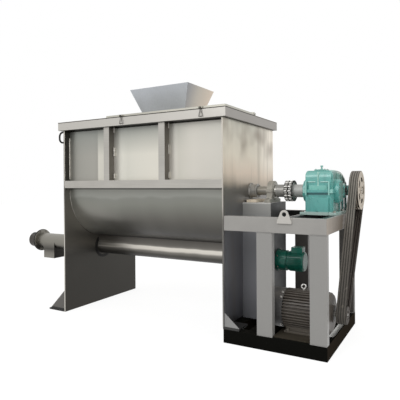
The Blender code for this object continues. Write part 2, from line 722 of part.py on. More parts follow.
def access_lid():
    """A shallow tray, open below, with its hinge knuckles and the forks of the two clamps."""
    low = GASKET_TOP + GAP
    x = (LID_FAR_X, RIM_DRIVE_X)
    y = (-RIM_HALF_WIDTH, LID_REAR_Y)
    lid = box("access_lid", x, y, (low, LID_TOP))
    cut(lid, box("lid_hollow", (x[0] + LID_SHEET, x[1] - LID_SHEET), (y[0] + LID_SHEET, y[1] - LID_SHEET),
                 (low - OVERRUN, LID_TOP - LID_SHEET)))
    for index, span in enumerate(knuckle_spans()):
        if index % 2 == 1:
            join(lid, drum(f"lid_knuckle_{index}", span, HINGE_BARREL_RADIUS, 0, HINGE_Z, 12),
                 box(f"lid_leaf_{index}", span, (-HINGE_LEAF_WIDTH, -HINGE_BARREL_RADIUS * 2 / 3),
                     (LID_TOP - WELD_DEPTH, LID_TOP + HINGE_LEAF_THICKNESS)))
    cut(lid, drum("lid_pin_bore", (LID_FAR_X - OVERRUN, RIM_DRIVE_X + OVERRUN),
                  HINGE_PIN_RADIUS + RUNNING_GAP, 0, HINGE_Z, 12))
    for index, clamp_x in enumerate(clamp_places()):
        half = CLAMP_STRAP_WIDTH / 2 + GAP
        for side in (-1, 1):
            ear = tuple(sorted((clamp_x + side * half, clamp_x + side * (half + CLAMP_EAR))))
            join(lid, box(f"clamp_ear_{index}_{side}", ear,
                          (clamp_axis_y() - CLAMP_EYE_RADIUS, -RIM_HALF_WIDTH + WELD_DEPTH),
                          (clamp_axis_z() - CLAMP_EYE_RADIUS, clamp_axis_z() + CLAMP_EYE_RADIUS)))
        pin_end = half + CLAMP_EAR - WELD_DEPTH
        join(lid, drum(f"clamp_pin_{index}", (clamp_x - pin_end, clamp_x + pin_end),
                       CLAMP_PIN_RADIUS, clamp_axis_y(), clamp_axis_z(), 12))
    return finish(lid, STAINLESS)


def clamp_places():
    return [RIM_DRIVE_X - share * LID_LENGTH for share in CLAMP_PLACE_SHARES]


def clamp_axis_y():
    return -RIM_HALF_WIDTH - CLAMP_STAND_OFF


def clamp_axis_z():
    return LID_TOP - CLAMP_STAND_OFF


def clamp_strap(name, clamp_x):
    """A strap that hangs over the rim's face, with a pressing screw near its lower end."""
    half = CLAMP_STRAP_WIDTH / 2
    y, z = clamp_axis_y(), clamp_axis_z()
    x = (clamp_x - half, clamp_x + half)
    strap = drum(name, x, CLAMP_EYE_RADIUS, y, z, 16)
    bottom = z - CLAMP_STRAP_DROP
    join(strap, box(f"{name}_bar", x, (y - CLAMP_STRAP_THICKNESS / 2, y + CLAMP_STRAP_THICKNESS / 2),
                    (bottom, z - CLAMP_PIN_RADIUS)),
         rod(f"{name}_screw", (clamp_x, y - CLAMP_EYE_RADIUS, bottom + half),
             (clamp_x, -RIM_HALF_WIDTH - GAP, bottom + half), CLAMP_SCREW_RADIUS, 12))
    cut(strap, drum(f"{name}_bore", (x[0] - OVERRUN, x[1] + OVERRUN), CLAMP_PIN_RADIUS + GAP, y, z, 12))
    return finish(strap, BRIGHT_STEEL)


def lid_gasket():
    outer = rectangle((LID_FAR_X, RIM_DRIVE_X), (-RIM_HALF_WIDTH, LID_REAR_Y))
    rear = LID_REAR_Y - GASKET_WIDTH / 2
    inner = rectangle((LID_FAR_X + GASKET_WIDTH, RIM_DRIVE_X - GASKET_WIDTH),
                      (-RIM_HALF_WIDTH + GASKET_WIDTH, rear))
    gasket = extruded("lid_gasket", "Z", [outer, inner], RIM_TOP + GAP, GASKET_TOP)
    return finish(gasket, GASKET_RUBBER)


def hinge_pin():
    pin = drum("hinge_pin", (LID_FAR_X, RIM_DRIVE_X), HINGE_PIN_RADIUS, 0, HINGE_Z, 12)
    return finish(pin, BRIGHT_STEEL, smooth=True)


def frustum(name, base, top, low, high):
    """A solid between two upright rectangles, each as ((x, x), (y, y))."""
    shape = bmesh.new()
    rings = []
    for (x, y), z in ((base, low), (top, high)):
        rings.append([shape.verts.new((px, py, z)) for px, py in rectangle(x, y)])
    shape.faces.new(reversed(rings[0]))
    shape.faces.new(rings[1])
    for index in range(4):
        after = (index + 1) % 4
        shape.faces.new((rings[0][index], rings[0][after], rings[1][after], rings[1][index]))
    return from_bmesh(name, shape)


def spread(centre_x, centre_y, length, width, more=0):
    return ((centre_x - length / 2 - more, centre_x + length / 2 + more),
            (centre_y - width / 2 - more, centre_y + width / 2 + more))


def inlet_hopper():
    """An inverted pyramid, open above and below, on a flange."""
    low = COVER_TOP + GAP
    high = low + HOPPER_HEIGHT
    base = (HOPPER_BASE_X, HOPPER_BASE_Y, HOPPER_BASE_LENGTH, HOPPER_BASE_WIDTH)
    top = (HOPPER_TOP_X, HOPPER_TOP_Y, HOPPER_TOP_LENGTH, HOPPER_TOP_WIDTH)
    hopper = frustum("inlet_hopper", spread(*base), spread(*top), low, high)
    join(hopper, box("hopper_flange", *spread(*base, HOPPER_FLANGE), (low, low + HOPPER_FLANGE_THICKNESS)))
    # The inside runs on past both ends along the same slopes.
    over = OVERRUN / HOPPER_HEIGHT

    def beyond(share):
        values = [b + share * (t - b) for b, t in zip(base, top)]
        return spread(*values, -HOPPER_WALL)

    cut(hopper, frustum("hopper_inside", beyond(-over), beyond(1 + over), low - OVERRUN, high + OVERRUN))
    return finish(hopper, STAINLESS)


def lifting_handle():
    """A bent rod on the far plate, close under the rim at the operator's side."""
    y = -PLATE_HALF_WIDTH + HANDLE_INSET
    root = FAR_PLATE_FACE - GAP
    reach = root - HANDLE_REACH
    top = RIM_BOTTOM - HANDLE_DROP
    bottom = top - HANDLE_HEIGHT
    corners = (arc(reach + HANDLE_BEND, top - HANDLE_BEND, HANDLE_BEND, 90, 180, 4)
               + arc(reach + HANDLE_BEND, bottom + HANDLE_BEND, HANDLE_BEND, 180, 270, 4))
    route = [(root, top)] + corners + [(root, bottom)]
    curve = bpy.data.curves.new("far_plate_handle", "CURVE")
    curve.dimensions = "3D"
    curve.bevel_depth = HANDLE_ROD_RADIUS
    curve.bevel_resolution = 2
    curve.use_fill_caps = True
    spline = curve.splines.new("POLY")
    spline.points.add(len(route) - 1)
    for point, (x, z) in zip(spline.points, route):
        point.co = (x, y, z, 1)
    obj = bpy.data.objects.new("far_plate_handle", curve)
    PARTS.objects.link(obj)
    return finish(baked(obj), BRIGHT_STEEL, smooth=True)


# Agitator

def stations():
    return [FIRST_STATION + index * STATION_STEP for index in range(SPIDER_STATIONS)]


def agitator_shaft():
    """The stepped shaft with a sleeve and a pair of spider arms at each station."""
    race = BEARING_BORE_RADIUS
    far_end = FAR_BEARING_X - BEARING_WIDTH / 2 - SHAFT_STUB
    drive_end = COUPLING_MIDDLE - COUPLING_SPLIT / 2
    steps = [(FAR_BEARING_X, BEARING_WIDTH, race)]
    steps += [(x, SPIDER_SLEEVE_LENGTH, SPIDER_SLEEVE_RADIUS) for x in stations()]
    steps += [(DRIVE_BEARING_X, BEARING_WIDTH, race)]
    profile = [(drive_end, 0), (drive_end, SHAFT_RADIUS)]
    for x, length, radius in reversed(steps):
        profile += [(x + length / 2, SHAFT_RADIUS), (x + length / 2, radius),
                    (x - length / 2, radius), (x - length / 2, SHAFT_RADIUS)]
    profile += [(far_end, SHAFT_RADIUS), (far_end, 0)]
    shaft = turned("agitator_shaft", profile, 0, AXIS_HEIGHT, start=math.pi / ROUND_SIDES)
    reach = OUTER_RIBBON_INSIDE - ARM_RADIUS * math.tan(math.pi / RIBBON_STEPS) - GAP
    for index, x in enumerate(stations()):
        angle = TURN * (x - FIRST_STATION) / RIBBON_PITCH
        tip = Vector((0, math.sin(angle), -math.cos(angle))) * reach
        centre = Vector((x, 0, AXIS_HEIGHT))
        join(shaft, rod(f"spider_arm_{index}", centre - tip, centre + tip, ARM_RADIUS, ARM_SIDES))
    return finish(shaft, STAINLESS, smooth=True)


def ribbons():
    """Two outer ribbons of one hand, and two inner ones of the other that lie beside the arms."""
    made = []
    slope = RIBBON_PITCH / (TURN * INNER_RIBBON_INSIDE)
    arm_flat = ARM_RADIUS * math.cos(math.pi / ARM_SIDES)
    beside = (arm_flat + RIBBON_THICKNESS / 2 + 2 * GAP) * math.hypot(1, slope)
    last = FIRST_STATION + RIBBON_TURNS * RIBBON_PITCH
    for index, phase in enumerate((0, math.pi)):
        made.append(helix(f"outer_ribbon_{index + 1}", OUTER_RIBBON_INSIDE, OUTER_RIBBON_RADIUS,
                          FIRST_STATION, RIBBON_PITCH, RIBBON_TURNS, RIBBON_STEPS, RIBBON_THICKNESS,
                          phase, 0, AXIS_HEIGHT))
        made.append(helix(f"inner_ribbon_{index + 1}", INNER_RIBBON_INSIDE, INNER_RIBBON_RADIUS,
                          last + beside, -RIBBON_PITCH, RIBBON_TURNS, RIBBON_STEPS, RIBBON_THICKNESS,
                          phase, 0, AXIS_HEIGHT))
    return [finish(ribbon, STAINLESS, smooth=True) for ribbon in made]


def seal_housing(name, face, inner_face, out):
    """Flange, stuffing box and gland ring outside an end plate, with a spigot through it."""
    bore = bore_of(SHAFT_RADIUS)
    start = face + out * GAP
    body = start + out * SEAL_BODY_LENGTH
    flange = start + out * SEAL_FLANGE_THICKNESS
    tip = body + out * GLAND_LENGTH
    outline = [(inner_face, bore), (inner_face, SEAL_SPIGOT_RADIUS - GAP), (start, SEAL_SPIGOT_RADIUS - GAP),
               (start, SEAL_FLANGE_RADIUS), (flange, SEAL_FLANGE_RADIUS), (flange, SEAL_BODY_RADIUS),
               (body, SEAL_BODY_RADIUS), (body, GLAND_RADIUS), (tip, GLAND_RADIUS), (tip, bore)]
    return finish(turned(name, outline, 0, AXIS_HEIGHT), CAST_IRON, smooth=True)


def pillow_block(name, centre_x):
    low = PEDESTAL_TOP_Z + GAP
    foot = BEARING_FOOT_HALF_LENGTH
    arch = BEARING_ARCH_RADIUS
    outline = [(-foot, low), (foot, low), (foot, low + BEARING_FOOT_THICKNESS),
               (arch, low + BEARING_FOOT_THICKNESS)]
    outline += arc(0, AXIS_HEIGHT, arch, 0, 180, 16)
    outline += [(-arch, low + BEARING_FOOT_THICKNESS), (-foot, low + BEARING_FOOT_THICKNESS)]
    block = extruded(name, "X", [outline, circle(0, AXIS_HEIGHT, bore_of(BEARING_BORE_RADIUS))],
                     centre_x - BEARING_WIDTH / 2, centre_x + BEARING_WIDTH / 2)
    return finish(block, CAST_IRON, smooth=True)


def bearing_pedestal():
    """A folded column against the drive end plate, open towards it and below."""
    x = (DRIVE_PLATE_FACE + GAP, PEDESTAL_FACE)
    y = (-PEDESTAL_WIDTH / 2, PEDESTAL_WIDTH / 2)
    bottom = BASE_HEIGHT + GAP
    column = box("bearing_pedestal", x, y, (bottom, PEDESTAL_TOP_Z))
    cut(column, box("pedestal_hollow", (x[0] - OVERRUN, x[1] - PEDESTAL_WALL),
                    (y[0] + PEDESTAL_WALL, y[1] - PEDESTAL_WALL),
                    (bottom - OVERRUN, PEDESTAL_TOP_Z - PEDESTAL_TOP)),
        drum("pedestal_screw_hole", (x[1] - PEDESTAL_WALL - OVERRUN, x[1] + OVERRUN),
             AUGER_SHAFT_RADIUS + 2 * PEDESTAL_WALL, 0, TUBE_Z))
    return finish(column, GREY_PAINT)


def packing_plate():
    low = PEDESTAL_TOP_Z + GAP
    start = DRIVE_PLATE_FACE + SEAL_FLANGE_THICKNESS + 2 * GAP
    plate = box("packing_plate", (start, start + PACKING_LENGTH), (-PACKING_WIDTH / 2, PACKING_WIDTH / 2),
                (low, low + PACKING_THICKNESS))
    return finish(plate, TAN_PACKING)


def far_bearing_bracket():
    """A shelf with a back plate and two webs, welded to the far plate."""
    back = FAR_PLATE_FACE - GAP
    top = PEDESTAL_TOP_Z
    half = BRACKET_WIDTH / 2
    bracket = box("far_bearing_bracket", (back - BRACKET_REACH, back), (-half, half),
                  (top - BRACKET_PLATE, top))
    join(bracket, box("bracket_back", (back - BRACKET_PLATE, back), (-half, half),
                      (top - BRACKET_DEPTH, top - WELD_DEPTH)))
    for index, y in enumerate((-half + BRACKET_PLATE, half - BRACKET_PLATE)):
        join(bracket, gusset(f"bracket_web_{index}", back - WELD_DEPTH, -BRACKET_REACH + BRACKET_PLATE,
                             top - WELD_DEPTH, -BRACKET_DEPTH + BRACKET_PLATE, y))
    return finish(bracket, STAINLESS)


# Discharge conveyor

def discharge_trough():
    """The screw's U-trough under the slot, between the end plates."""
    top = AXIS_HEIGHT - math.sqrt(SHELL_RADIUS ** 2 - TUBE_RADIUS ** 2) + OVERRUN
    inner = TUBE_RADIUS - TUBE_WALL
    steps = ROUND_SIDES // 2
    outside = [(-TUBE_RADIUS, top)] + arc(0, TUBE_Z, TUBE_RADIUS, 180, 360, steps) + [(TUBE_RADIUS, top)]
    inside = [(inner, top)] + arc(0, TUBE_Z, inner, 360, 180, steps) + [(-inner, top)]
    x = (FAR_PLATE_INNER + GAP, PLATE_INNER - GAP)
    trough = extruded("discharge_trough", "X", [outside + inside], *x)
    cut(trough, drum("saddle_seat", (x[0] - OVERRUN, x[1] + OVERRUN), SHELL_RADIUS + GAP, 0, AXIS_HEIGHT,
                     2 * ARC_STEPS))
    return finish(trough, BRIGHT_STEEL, smooth=True)


def outlet_tube():
    """The tube through the far plate and beyond: collar, outer flange and a square spout."""
    x = (OUTLET_END, FAR_PLATE_INNER)
    seat = FAR_PLATE_FACE - GAP
    tube = drum("outlet_tube", x, TUBE_RADIUS, 0, TUBE_Z)
    spout_x = (SPOUT_X - SPOUT_LENGTH / 2, SPOUT_X + SPOUT_LENGTH / 2)
    half = SPOUT_WIDTH / 2
    bottom = TUBE_Z - SPOUT_DROP
    join(tube, drum("plate_collar", (seat - FLANGE_THICKNESS, seat), COLLAR_RADIUS, 0, TUBE_Z),
         drum("outer_flange", (x[0], x[0] + FLANGE_THICKNESS), OUTLET_FLANGE_RADIUS, 0, TUBE_Z),
         box("spout", spout_x, (-half, half), (bottom, TUBE_Z)))
    cut(tube, drum("outlet_bore", (x[0] - OVERRUN, x[1] + OVERRUN), TUBE_RADIUS - TUBE_WALL, 0, TUBE_Z),
        box("spout_hollow", (spout_x[0] + SPOUT_WALL, spout_x[1] - SPOUT_WALL),
            (-TUBE_RADIUS + 2 * SPOUT_WALL, TUBE_RADIUS - 2 * SPOUT_WALL), (bottom - OVERRUN, TUBE_Z)))
    return finish(tube, STAINLESS, smooth=True)


def screw_end_housing():
    """A flanged cap with the screw's end bearing bored in its cover."""
    face = OUTLET_END - GAP
    end = face - END_HOUSING_LENGTH
    inner = TUBE_RADIUS - TUBE_WALL
    bore = bore_of(AUGER_SHAFT_RADIUS)
    flange = face - FLANGE_THICKNESS
    outline = [(face, inner), (face, OUTLET_FLANGE_RADIUS), (flange, OUTLET_FLANGE_RADIUS),
               (flange, TUBE_RADIUS), (end, TUBE_RADIUS), (end, bore), (end + 2 * END_HOUSING_WALL, bore),
               (end + 2 * END_HOUSING_WALL, inner)]
    return finish(turned("screw_end_housing", outline, 0, TUBE_Z), STAINLESS, smooth=True)


def screw_auger():
    """The conveyor screw: one shaft with a continuous flight from the drive end to the spout."""
    end = OUTLET_END - GAP - END_HOUSING_LENGTH
    drive = PEDESTAL_FACE + GEAR_HEAD_LENGTH - AUGER_END / 2
    auger = drum("screw_auger", (end, drive), AUGER_SHAFT_RADIUS, 0, TUBE_Z, AUGER_STEPS)
    start = SPOUT_X - SPOUT_LENGTH / 2
    turns = (PLATE_INNER - AUGER_MARGIN - start) / AUGER_PITCH
    root = AUGER_SHAFT_RADIUS * math.cos(math.pi / AUGER_STEPS) - 2 * WELD_DEPTH
    flight = helix("screw_flight", root, AUGER_RADIUS, start,
                   AUGER_PITCH, turns, AUGER_STEPS, AUGER_FLIGHT, 0, 0, TUBE_Z)
    return finish(join(auger, flight), STAINLESS, smooth=True)


def screw_shaft_seal():
    """A flanged ring on the drive plate's outside that closes its hole round the screw shaft."""
    face = DRIVE_PLATE_FACE + GAP
    bore = bore_of(AUGER_SHAFT_RADIUS)
    flange = face + SEAL_FLANGE_THICKNESS
    tip = flange + GLAND_LENGTH
    outline = [(tip, bore), (tip, 2 * AUGER_SHAFT_RADIUS), (flange, 2 * AUGER_SHAFT_RADIUS),
               (flange, SEAL_FLANGE_RADIUS), (face, SEAL_FLANGE_RADIUS), (face, bore)]
    return finish(turned("screw_shaft_seal", outline, 0, TUBE_Z), CAST_IRON, smooth=True)


def rounded_profile(x_end, x_start, radius, bore):
    """A ring's outline with its far edge rounded, from the end nearest +X down."""
    corner = [(x_end - ROUNDING + ROUNDING * math.cos(a), radius - ROUNDING + ROUNDING * math.sin(a))
              for a in (0, math.pi / 6, math.pi / 3, math.pi / 2)]
    return [(x_end, bore)] + corner + [(x_start, radius), (x_start, bore)]


def screw_gear_head():
    start = PEDESTAL_FACE + GAP
    end = PEDESTAL_FACE + GEAR_HEAD_LENGTH
    bore = bore_of(AUGER_SHAFT_RADIUS)
    flange = start + GEAR_FLANGE_THICKNESS
    blind = end - AUGER_END / 4
    outline = [(end, 0), (end, GEAR_HEAD_RADIUS - ROUNDING), (end - ROUNDING, GEAR_HEAD_RADIUS),
               (flange, GEAR_HEAD_RADIUS), (flange, GEAR_FLANGE_RADIUS), (start, GEAR_FLANGE_RADIUS),
               (start, bore), (blind, bore), (blind, 0)]
    return finish(turned("screw_gear_head", outline, 0, TUBE_Z), GREEN_PAINT, smooth=True)


def screw_motor():
    start = PEDESTAL_FACE + GEAR_HEAD_LENGTH + GAP
    end = start + SCREW_MOTOR_LENGTH
    radius = SCREW_MOTOR_RADIUS
    outline = rounded_profile(end, start, radius, 0)
    return finish(turned("screw_motor", outline, 0, TUBE_Z), GREEN_PAINT, smooth=True)


def screw_terminal_box():
    end = PEDESTAL_FACE + GEAR_HEAD_LENGTH + SCREW_MOTOR_LENGTH - ROUNDING
    top = TUBE_Z + SCREW_MOTOR_RADIUS + SCREW_BOX_HEIGHT
    body = box("screw_terminal_box", (end - SCREW_BOX_LENGTH, end),
               (-SCREW_BOX_WIDTH / 2, SCREW_BOX_WIDTH / 2), (TUBE_Z + SCREW_MOTOR_RADIUS / 2, top))
    cut(body, drum("screw_box_seat", (end - SCREW_BOX_LENGTH - OVERRUN, end + OVERRUN),
                   SCREW_MOTOR_RADIUS + GAP, 0, TUBE_Z))
    return finish(body, GREEN_PAINT)


# Chain coupling

def sprocket_outline():
    """Teeth that stand between the chain's rollers, with a running gap round each roller."""
    seat = (CHAIN_ROLLER_RADIUS + RUNNING_GAP) / math.cos(math.pi / 8)
    tip = CHAIN_PITCH_RADIUS + TOOTH_HEIGHT
    step = TURN / CHAIN_TEETH
    points = []
    for index in range(CHAIN_TEETH):
        angle = index * step
        centre = Vector((math.cos(angle), math.sin(angle))) * CHAIN_PITCH_RADIUS
        for turn in (-90, -45, 0, 45, 90):
            inward = angle + math.pi + math.radians(-turn)
            points.append(centre + Vector((math.cos(inward), math.sin(inward))) * seat)
        for share in TOOTH_TIP_SHARES:
            tooth = angle + share * step
            points.append(Vector((math.cos(tooth), math.sin(tooth))) * tip)
    return [(point.x, point.y + AXIS_HEIGHT) for point in points]


def coupling_hub(name, hub_x, sprocket_x, bore):
    seat = COUPLING_HUB_RADIUS - 2 * CHAIN_ROLLER_RADIUS
    hub = extruded(name, "X", [sprocket_outline(), circle(0, AXIS_HEIGHT, seat)], *sprocket_x)
    outline = [(hub_x[1], bore), (hub_x[1], COUPLING_HUB_RADIUS), (hub_x[0], COUPLING_HUB_RADIUS),
               (hub_x[0], bore)]
    join(hub, turned(f"{name}_boss", outline, 0, AXIS_HEIGHT))
    return finish(hub, DARK_STEEL, smooth=True)


def coupling_hubs():
    half = COUPLING_SPLIT / 2
    near, far = COUPLING_MIDDLE - half, COUPLING_MIDDLE + half
    lap = WELD_DEPTH
    return [coupling_hub("coupling_hub_agitator", (COUPLING_START, near), (near - SPROCKET_WIDTH, near - lap),
                         bore_of(SHAFT_RADIUS)),
            coupling_hub("coupling_hub_reducer", (far, COUPLING_END), (far + lap, far + SPROCKET_WIDTH),
                         bore_of(OUTPUT_SHAFT_RADIUS))]


def coupling_chain():
    """A duplex roller chain closed round both sprockets: three rows of links and their rollers."""
    reach = COUPLING_SPLIT / 2 + SPROCKET_WIDTH + RUNNING_GAP
    rows = ((COUPLING_MIDDLE - reach - LINK_THICKNESS, COUPLING_MIDDLE - reach),
            (COUPLING_MIDDLE - LINK_THICKNESS / 2, COUPLING_MIDDLE + LINK_THICKNESS / 2),
            (COUPLING_MIDDLE + reach, COUPLING_MIDDLE + reach + LINK_THICKNESS))
    loops = [circle(0, AXIS_HEIGHT, CHAIN_PITCH_RADIUS + LINK_WIDTH / 2, CHAIN_TEETH),
             circle(0, AXIS_HEIGHT, CHAIN_PITCH_RADIUS - LINK_WIDTH / 2, CHAIN_TEETH)]
    chain = extruded("coupling_chain", "X", loops, *rows[0])
    for index, row in enumerate(rows[1:]):
        join(chain, extruded(f"link_row_{index}", "X", loops, *row))
    for index in range(CHAIN_TEETH):
        angle = index * TURN / CHAIN_TEETH
        join(chain, drum(f"roller_{index}", (rows[0][0] + WELD_DEPTH, rows[2][1] - WELD_DEPTH),
                         CHAIN_ROLLER_RADIUS, CHAIN_PITCH_RADIUS * math.cos(angle),
                         AXIS_HEIGHT + CHAIN_PITCH_RADIUS * math.sin(angle), CHAIN_ROLLER_SIDES))
    return finish(chain, DARK_STEEL, smooth=True)


# Reducer

def reducer_x(length):
    return (REDUCER_CENTRE_X - length / 2, REDUCER_CENTRE_X + length / 2)


def boss_places():
    places = (0, REDUCER_MIDDLE_SHARE * REDUCER_CENTRES, REDUCER_CENTRES)
    return list(zip(places, REDUCER_BOSS_RADII))


def half_bosses(name, level, start):
    """Half discs round each shaft, above or below the split."""
    discs = []
    for index, (y, radius) in enumerate(boss_places()):
        outline = arc(y, level, radius, start, start + 180, 12)
        discs.append(extruded(f"{name}_{index}", "X", [outline],
                              *reducer_x(REDUCER_LENGTH_X + 2 * REDUCER_BOSS_LENGTH)))
    return discs


def shaft_bores(name):
    low, high = reducer_x(REDUCER_LENGTH_X)
    boss = REDUCER_BOSS_LENGTH + OVERRUN
    return [drum(f"{name}_output", (low - boss, low + SHAFT_SEAT), bore_of(OUTPUT_SHAFT_RADIUS),
                 0, AXIS_HEIGHT),
            drum(f"{name}_input", (high - SHAFT_SEAT, high + boss), bore_of(INPUT_SHAFT_RADIUS),
                 REDUCER_CENTRES, AXIS_HEIGHT)]


def reducer_case():
    """The lower half: foot flange, ribbed body, pad at the front, split flange and bearing bosses."""
    low = STAND_TOP + GAP
    split = AXIS_HEIGHT - GAP / 2
    rear = REDUCER_CENTRES + REDUCER_REAR
    lip = REDUCER_LIP
    case = box("reducer_case", reducer_x(REDUCER_LENGTH_X), (-REDUCER_FRONT, rear), (low, split))
    join(case, box("case_foot", reducer_x(REDUCER_FLANGE_X), (-REDUCER_FRONT - lip, rear + lip),
                   (low, low + REDUCER_FOOT_THICKNESS)),
         box("case_split", reducer_x(REDUCER_SPLIT_X), (-REDUCER_FRONT - lip, rear + lip),
             (split - REDUCER_SPLIT_THICKNESS, split)),
         box("case_pad", reducer_x(REDUCER_PAD_LENGTH),
             (-REDUCER_FRONT - REDUCER_PAD_DEPTH, -REDUCER_FRONT + OVERRUN),
             (low, low + REDUCER_PAD_HEIGHT)),
         *half_bosses("case_boss", split, 180))
    for index, share in enumerate(REDUCER_RIB_SHARES):
        middle = share * (REDUCER_FRONT + rear) - REDUCER_FRONT
        join(case, box(f"case_rib_{index}", reducer_x(REDUCER_LENGTH_X + 2 * REDUCER_RIB_REACH),
                       (middle - REDUCER_RIB_WIDTH / 2, middle + REDUCER_RIB_WIDTH / 2),
                       (low + REDUCER_FOOT_THICKNESS - WELD_DEPTH,
                        split - REDUCER_SPLIT_THICKNESS + WELD_DEPTH)))
    return finish(cut(case, *shaft_bores("case_bore")), TEAL_PAINT)


def cover_outline(level):
    """The cover seen along the shafts: upright in front, then falling away over the pinions."""
    corner = REDUCER_COVER_CORNER
    rear = REDUCER_CENTRES + REDUCER_REAR
    front_curve = arc(corner - REDUCER_FRONT, level + REDUCER_COVER_HEIGHT - corner, corner, 180, 90, 3)
    fall = []
    for step in range(6):
        angle = math.pi / 2 * step / 5
        fall.append((REDUCER_COVER_CREST + (rear - REDUCER_COVER_CREST) * math.sin(angle),
                     level + REDUCER_COVER_HEIGHT * math.cos(angle)))
    return [(-REDUCER_FRONT, level)] + front_curve + fall


def reducer_cover():
    """The upper half, with its upper edges rounded off like a casting's."""
    split = AXIS_HEIGHT + GAP / 2
    rear = REDUCER_CENTRES + REDUCER_REAR
    lip = REDUCER_LIP
    cover = extruded("reducer_cover", "X", [cover_outline(split + WELD_DEPTH)], *reducer_x(REDUCER_LENGTH_X))
    round_ends(cover, split + REDUCER_SPLIT_THICKNESS, REDUCER_COVER_ROUNDING)
    join(cover, box("cover_split", reducer_x(REDUCER_SPLIT_X), (-REDUCER_FRONT - lip, rear + lip),
                    (split, split + REDUCER_SPLIT_THICKNESS)),
         *half_bosses("cover_boss", split, 0))
    return finish(cut(cover, *shaft_bores("cover_bore")), TEAL_PAINT, smooth=True)


def round_ends(obj, above, width):
    """Bevels the end outlines of an X extrusion where they lie above a level."""
    mesh = obj.data
    weights = mesh.attributes.new("bevel_weight_edge", "FLOAT", "EDGE")
    for edge in mesh.edges:
        ends = [obj.matrix_world @ mesh.vertices[index].co for index in edge.vertices]
        on_one_end = abs(ends[0].x - ends[1].x) < GAP
        weights.data[edge.index].value = 1.0 if on_one_end and min(end.z for end in ends) > above else 0.0
    bevel = obj.modifiers.new("Rounding", "BEVEL")
    bevel.limit_method = "WEIGHT"
    bevel.width = width
    bevel.segments = 2


def inspection_cover():
    low = AXIS_HEIGHT + GAP / 2 + WELD_DEPTH + REDUCER_COVER_HEIGHT + GAP
    start = REDUCER_COVER_CORNER - REDUCER_FRONT
    plate = box("reducer_inspection_cover", reducer_x(INSPECTION_LENGTH),
                (start, start + INSPECTION_WIDTH), (low, low + INSPECTION_THICKNESS))
    return finish(plate, TEAL_PAINT)


def reducer_shafts():
    low, high = reducer_x(REDUCER_LENGTH_X)
    inner_end = low + SHAFT_SEAT - GAP
    outer_end = COUPLING_MIDDLE + COUPLING_SPLIT / 2
    output = turned("reducer_output_shaft", [(inner_end, 0), (inner_end, OUTPUT_SHAFT_RADIUS),
                                             (outer_end, OUTPUT_SHAFT_RADIUS), (outer_end, 0)],
                    0, AXIS_HEIGHT, start=math.pi / ROUND_SIDES)
    shaft_end = PULLEY_START + PULLEY_WIDTH
    entry = drum("reducer_input_shaft", (high - SHAFT_SEAT + GAP, shaft_end), INPUT_SHAFT_RADIUS,
                 REDUCER_CENTRES, AXIS_HEIGHT)
    return [finish(shaft, BRIGHT_STEEL, smooth=True) for shaft in (output, entry)]


# Belt drive

def groove_centres():
    middle = PULLEY_START + PULLEY_WIDTH / 2
    return [middle + (index - (BELT_COUNT - 1) / 2) * BELT_PITCH for index in range(BELT_COUNT)]


def grooved_rim(radius):
    """The rim's outside from the +X end down, with one V groove for each belt."""
    half_top = BELT_TOP_WIDTH / 2 + GAP / math.cos(math.atan(GROOVE_SLOPE))
    half_bottom = half_top - GROOVE_DEPTH * GROOVE_SLOPE
    points = [(PULLEY_START + PULLEY_WIDTH, radius)]
    for x in reversed(groove_centres()):
        points += [(x + half_top, radius), (x + half_bottom, radius - GROOVE_DEPTH),
                   (x - half_bottom, radius - GROOVE_DEPTH), (x - half_top, radius)]
    return points + [(PULLEY_START, radius)]


def driven_pulley():
    """A spoked V pulley on the reducer's input shaft."""
    end = PULLEY_START + PULLEY_WIDTH
    bore = bore_of(INPUT_SHAFT_RADIUS, DRIVEN_PULLEY_SIDES)
    inner = DRIVEN_PULLEY_RADIUS - PULLEY_RIM
    middle = (PULLEY_START + end) / 2
    web = (middle + PULLEY_WEB / 2, middle - PULLEY_WEB / 2)
    outline = ([(end, bore), (end, PULLEY_HUB_RADIUS), (web[0], PULLEY_HUB_RADIUS), (web[0], inner),
                (end, inner)] + grooved_rim(DRIVEN_PULLEY_RADIUS)
               + [(PULLEY_START, inner), (web[1], inner), (web[1], PULLEY_HUB_RADIUS),
                  (PULLEY_START, PULLEY_HUB_RADIUS), (PULLEY_START, bore)])
    pulley = turned("driven_pulley", outline, REDUCER_CENTRES, AXIS_HEIGHT, DRIVEN_PULLEY_SIDES)
    around = (inner + PULLEY_HUB_RADIUS) / 2
    for index in range(PULLEY_HOLES):
        angle = TURN * index / PULLEY_HOLES
        cut(pulley, drum(f"web_hole_{index}", (web[1] - OVERRUN, web[0] + OVERRUN), PULLEY_HOLE_RADIUS,
                         REDUCER_CENTRES + around * math.cos(angle),
                         AXIS_HEIGHT + around * math.sin(angle), 10))
    return finish(pulley, PULLEY_IRON, smooth=True)


def motor_pulley():
    end = PULLEY_START + PULLEY_WIDTH
    bore = bore_of(MOTOR_SHAFT_RADIUS, MOTOR_PULLEY_SIDES)
    outline = ([(end, bore)] + grooved_rim(MOTOR_PULLEY_RADIUS) + [(PULLEY_START, bore)])
    return finish(turned("motor_pulley", outline, MOTOR_Y, MOTOR_Z, MOTOR_PULLEY_SIDES), PULLEY_IRON, smooth=True)


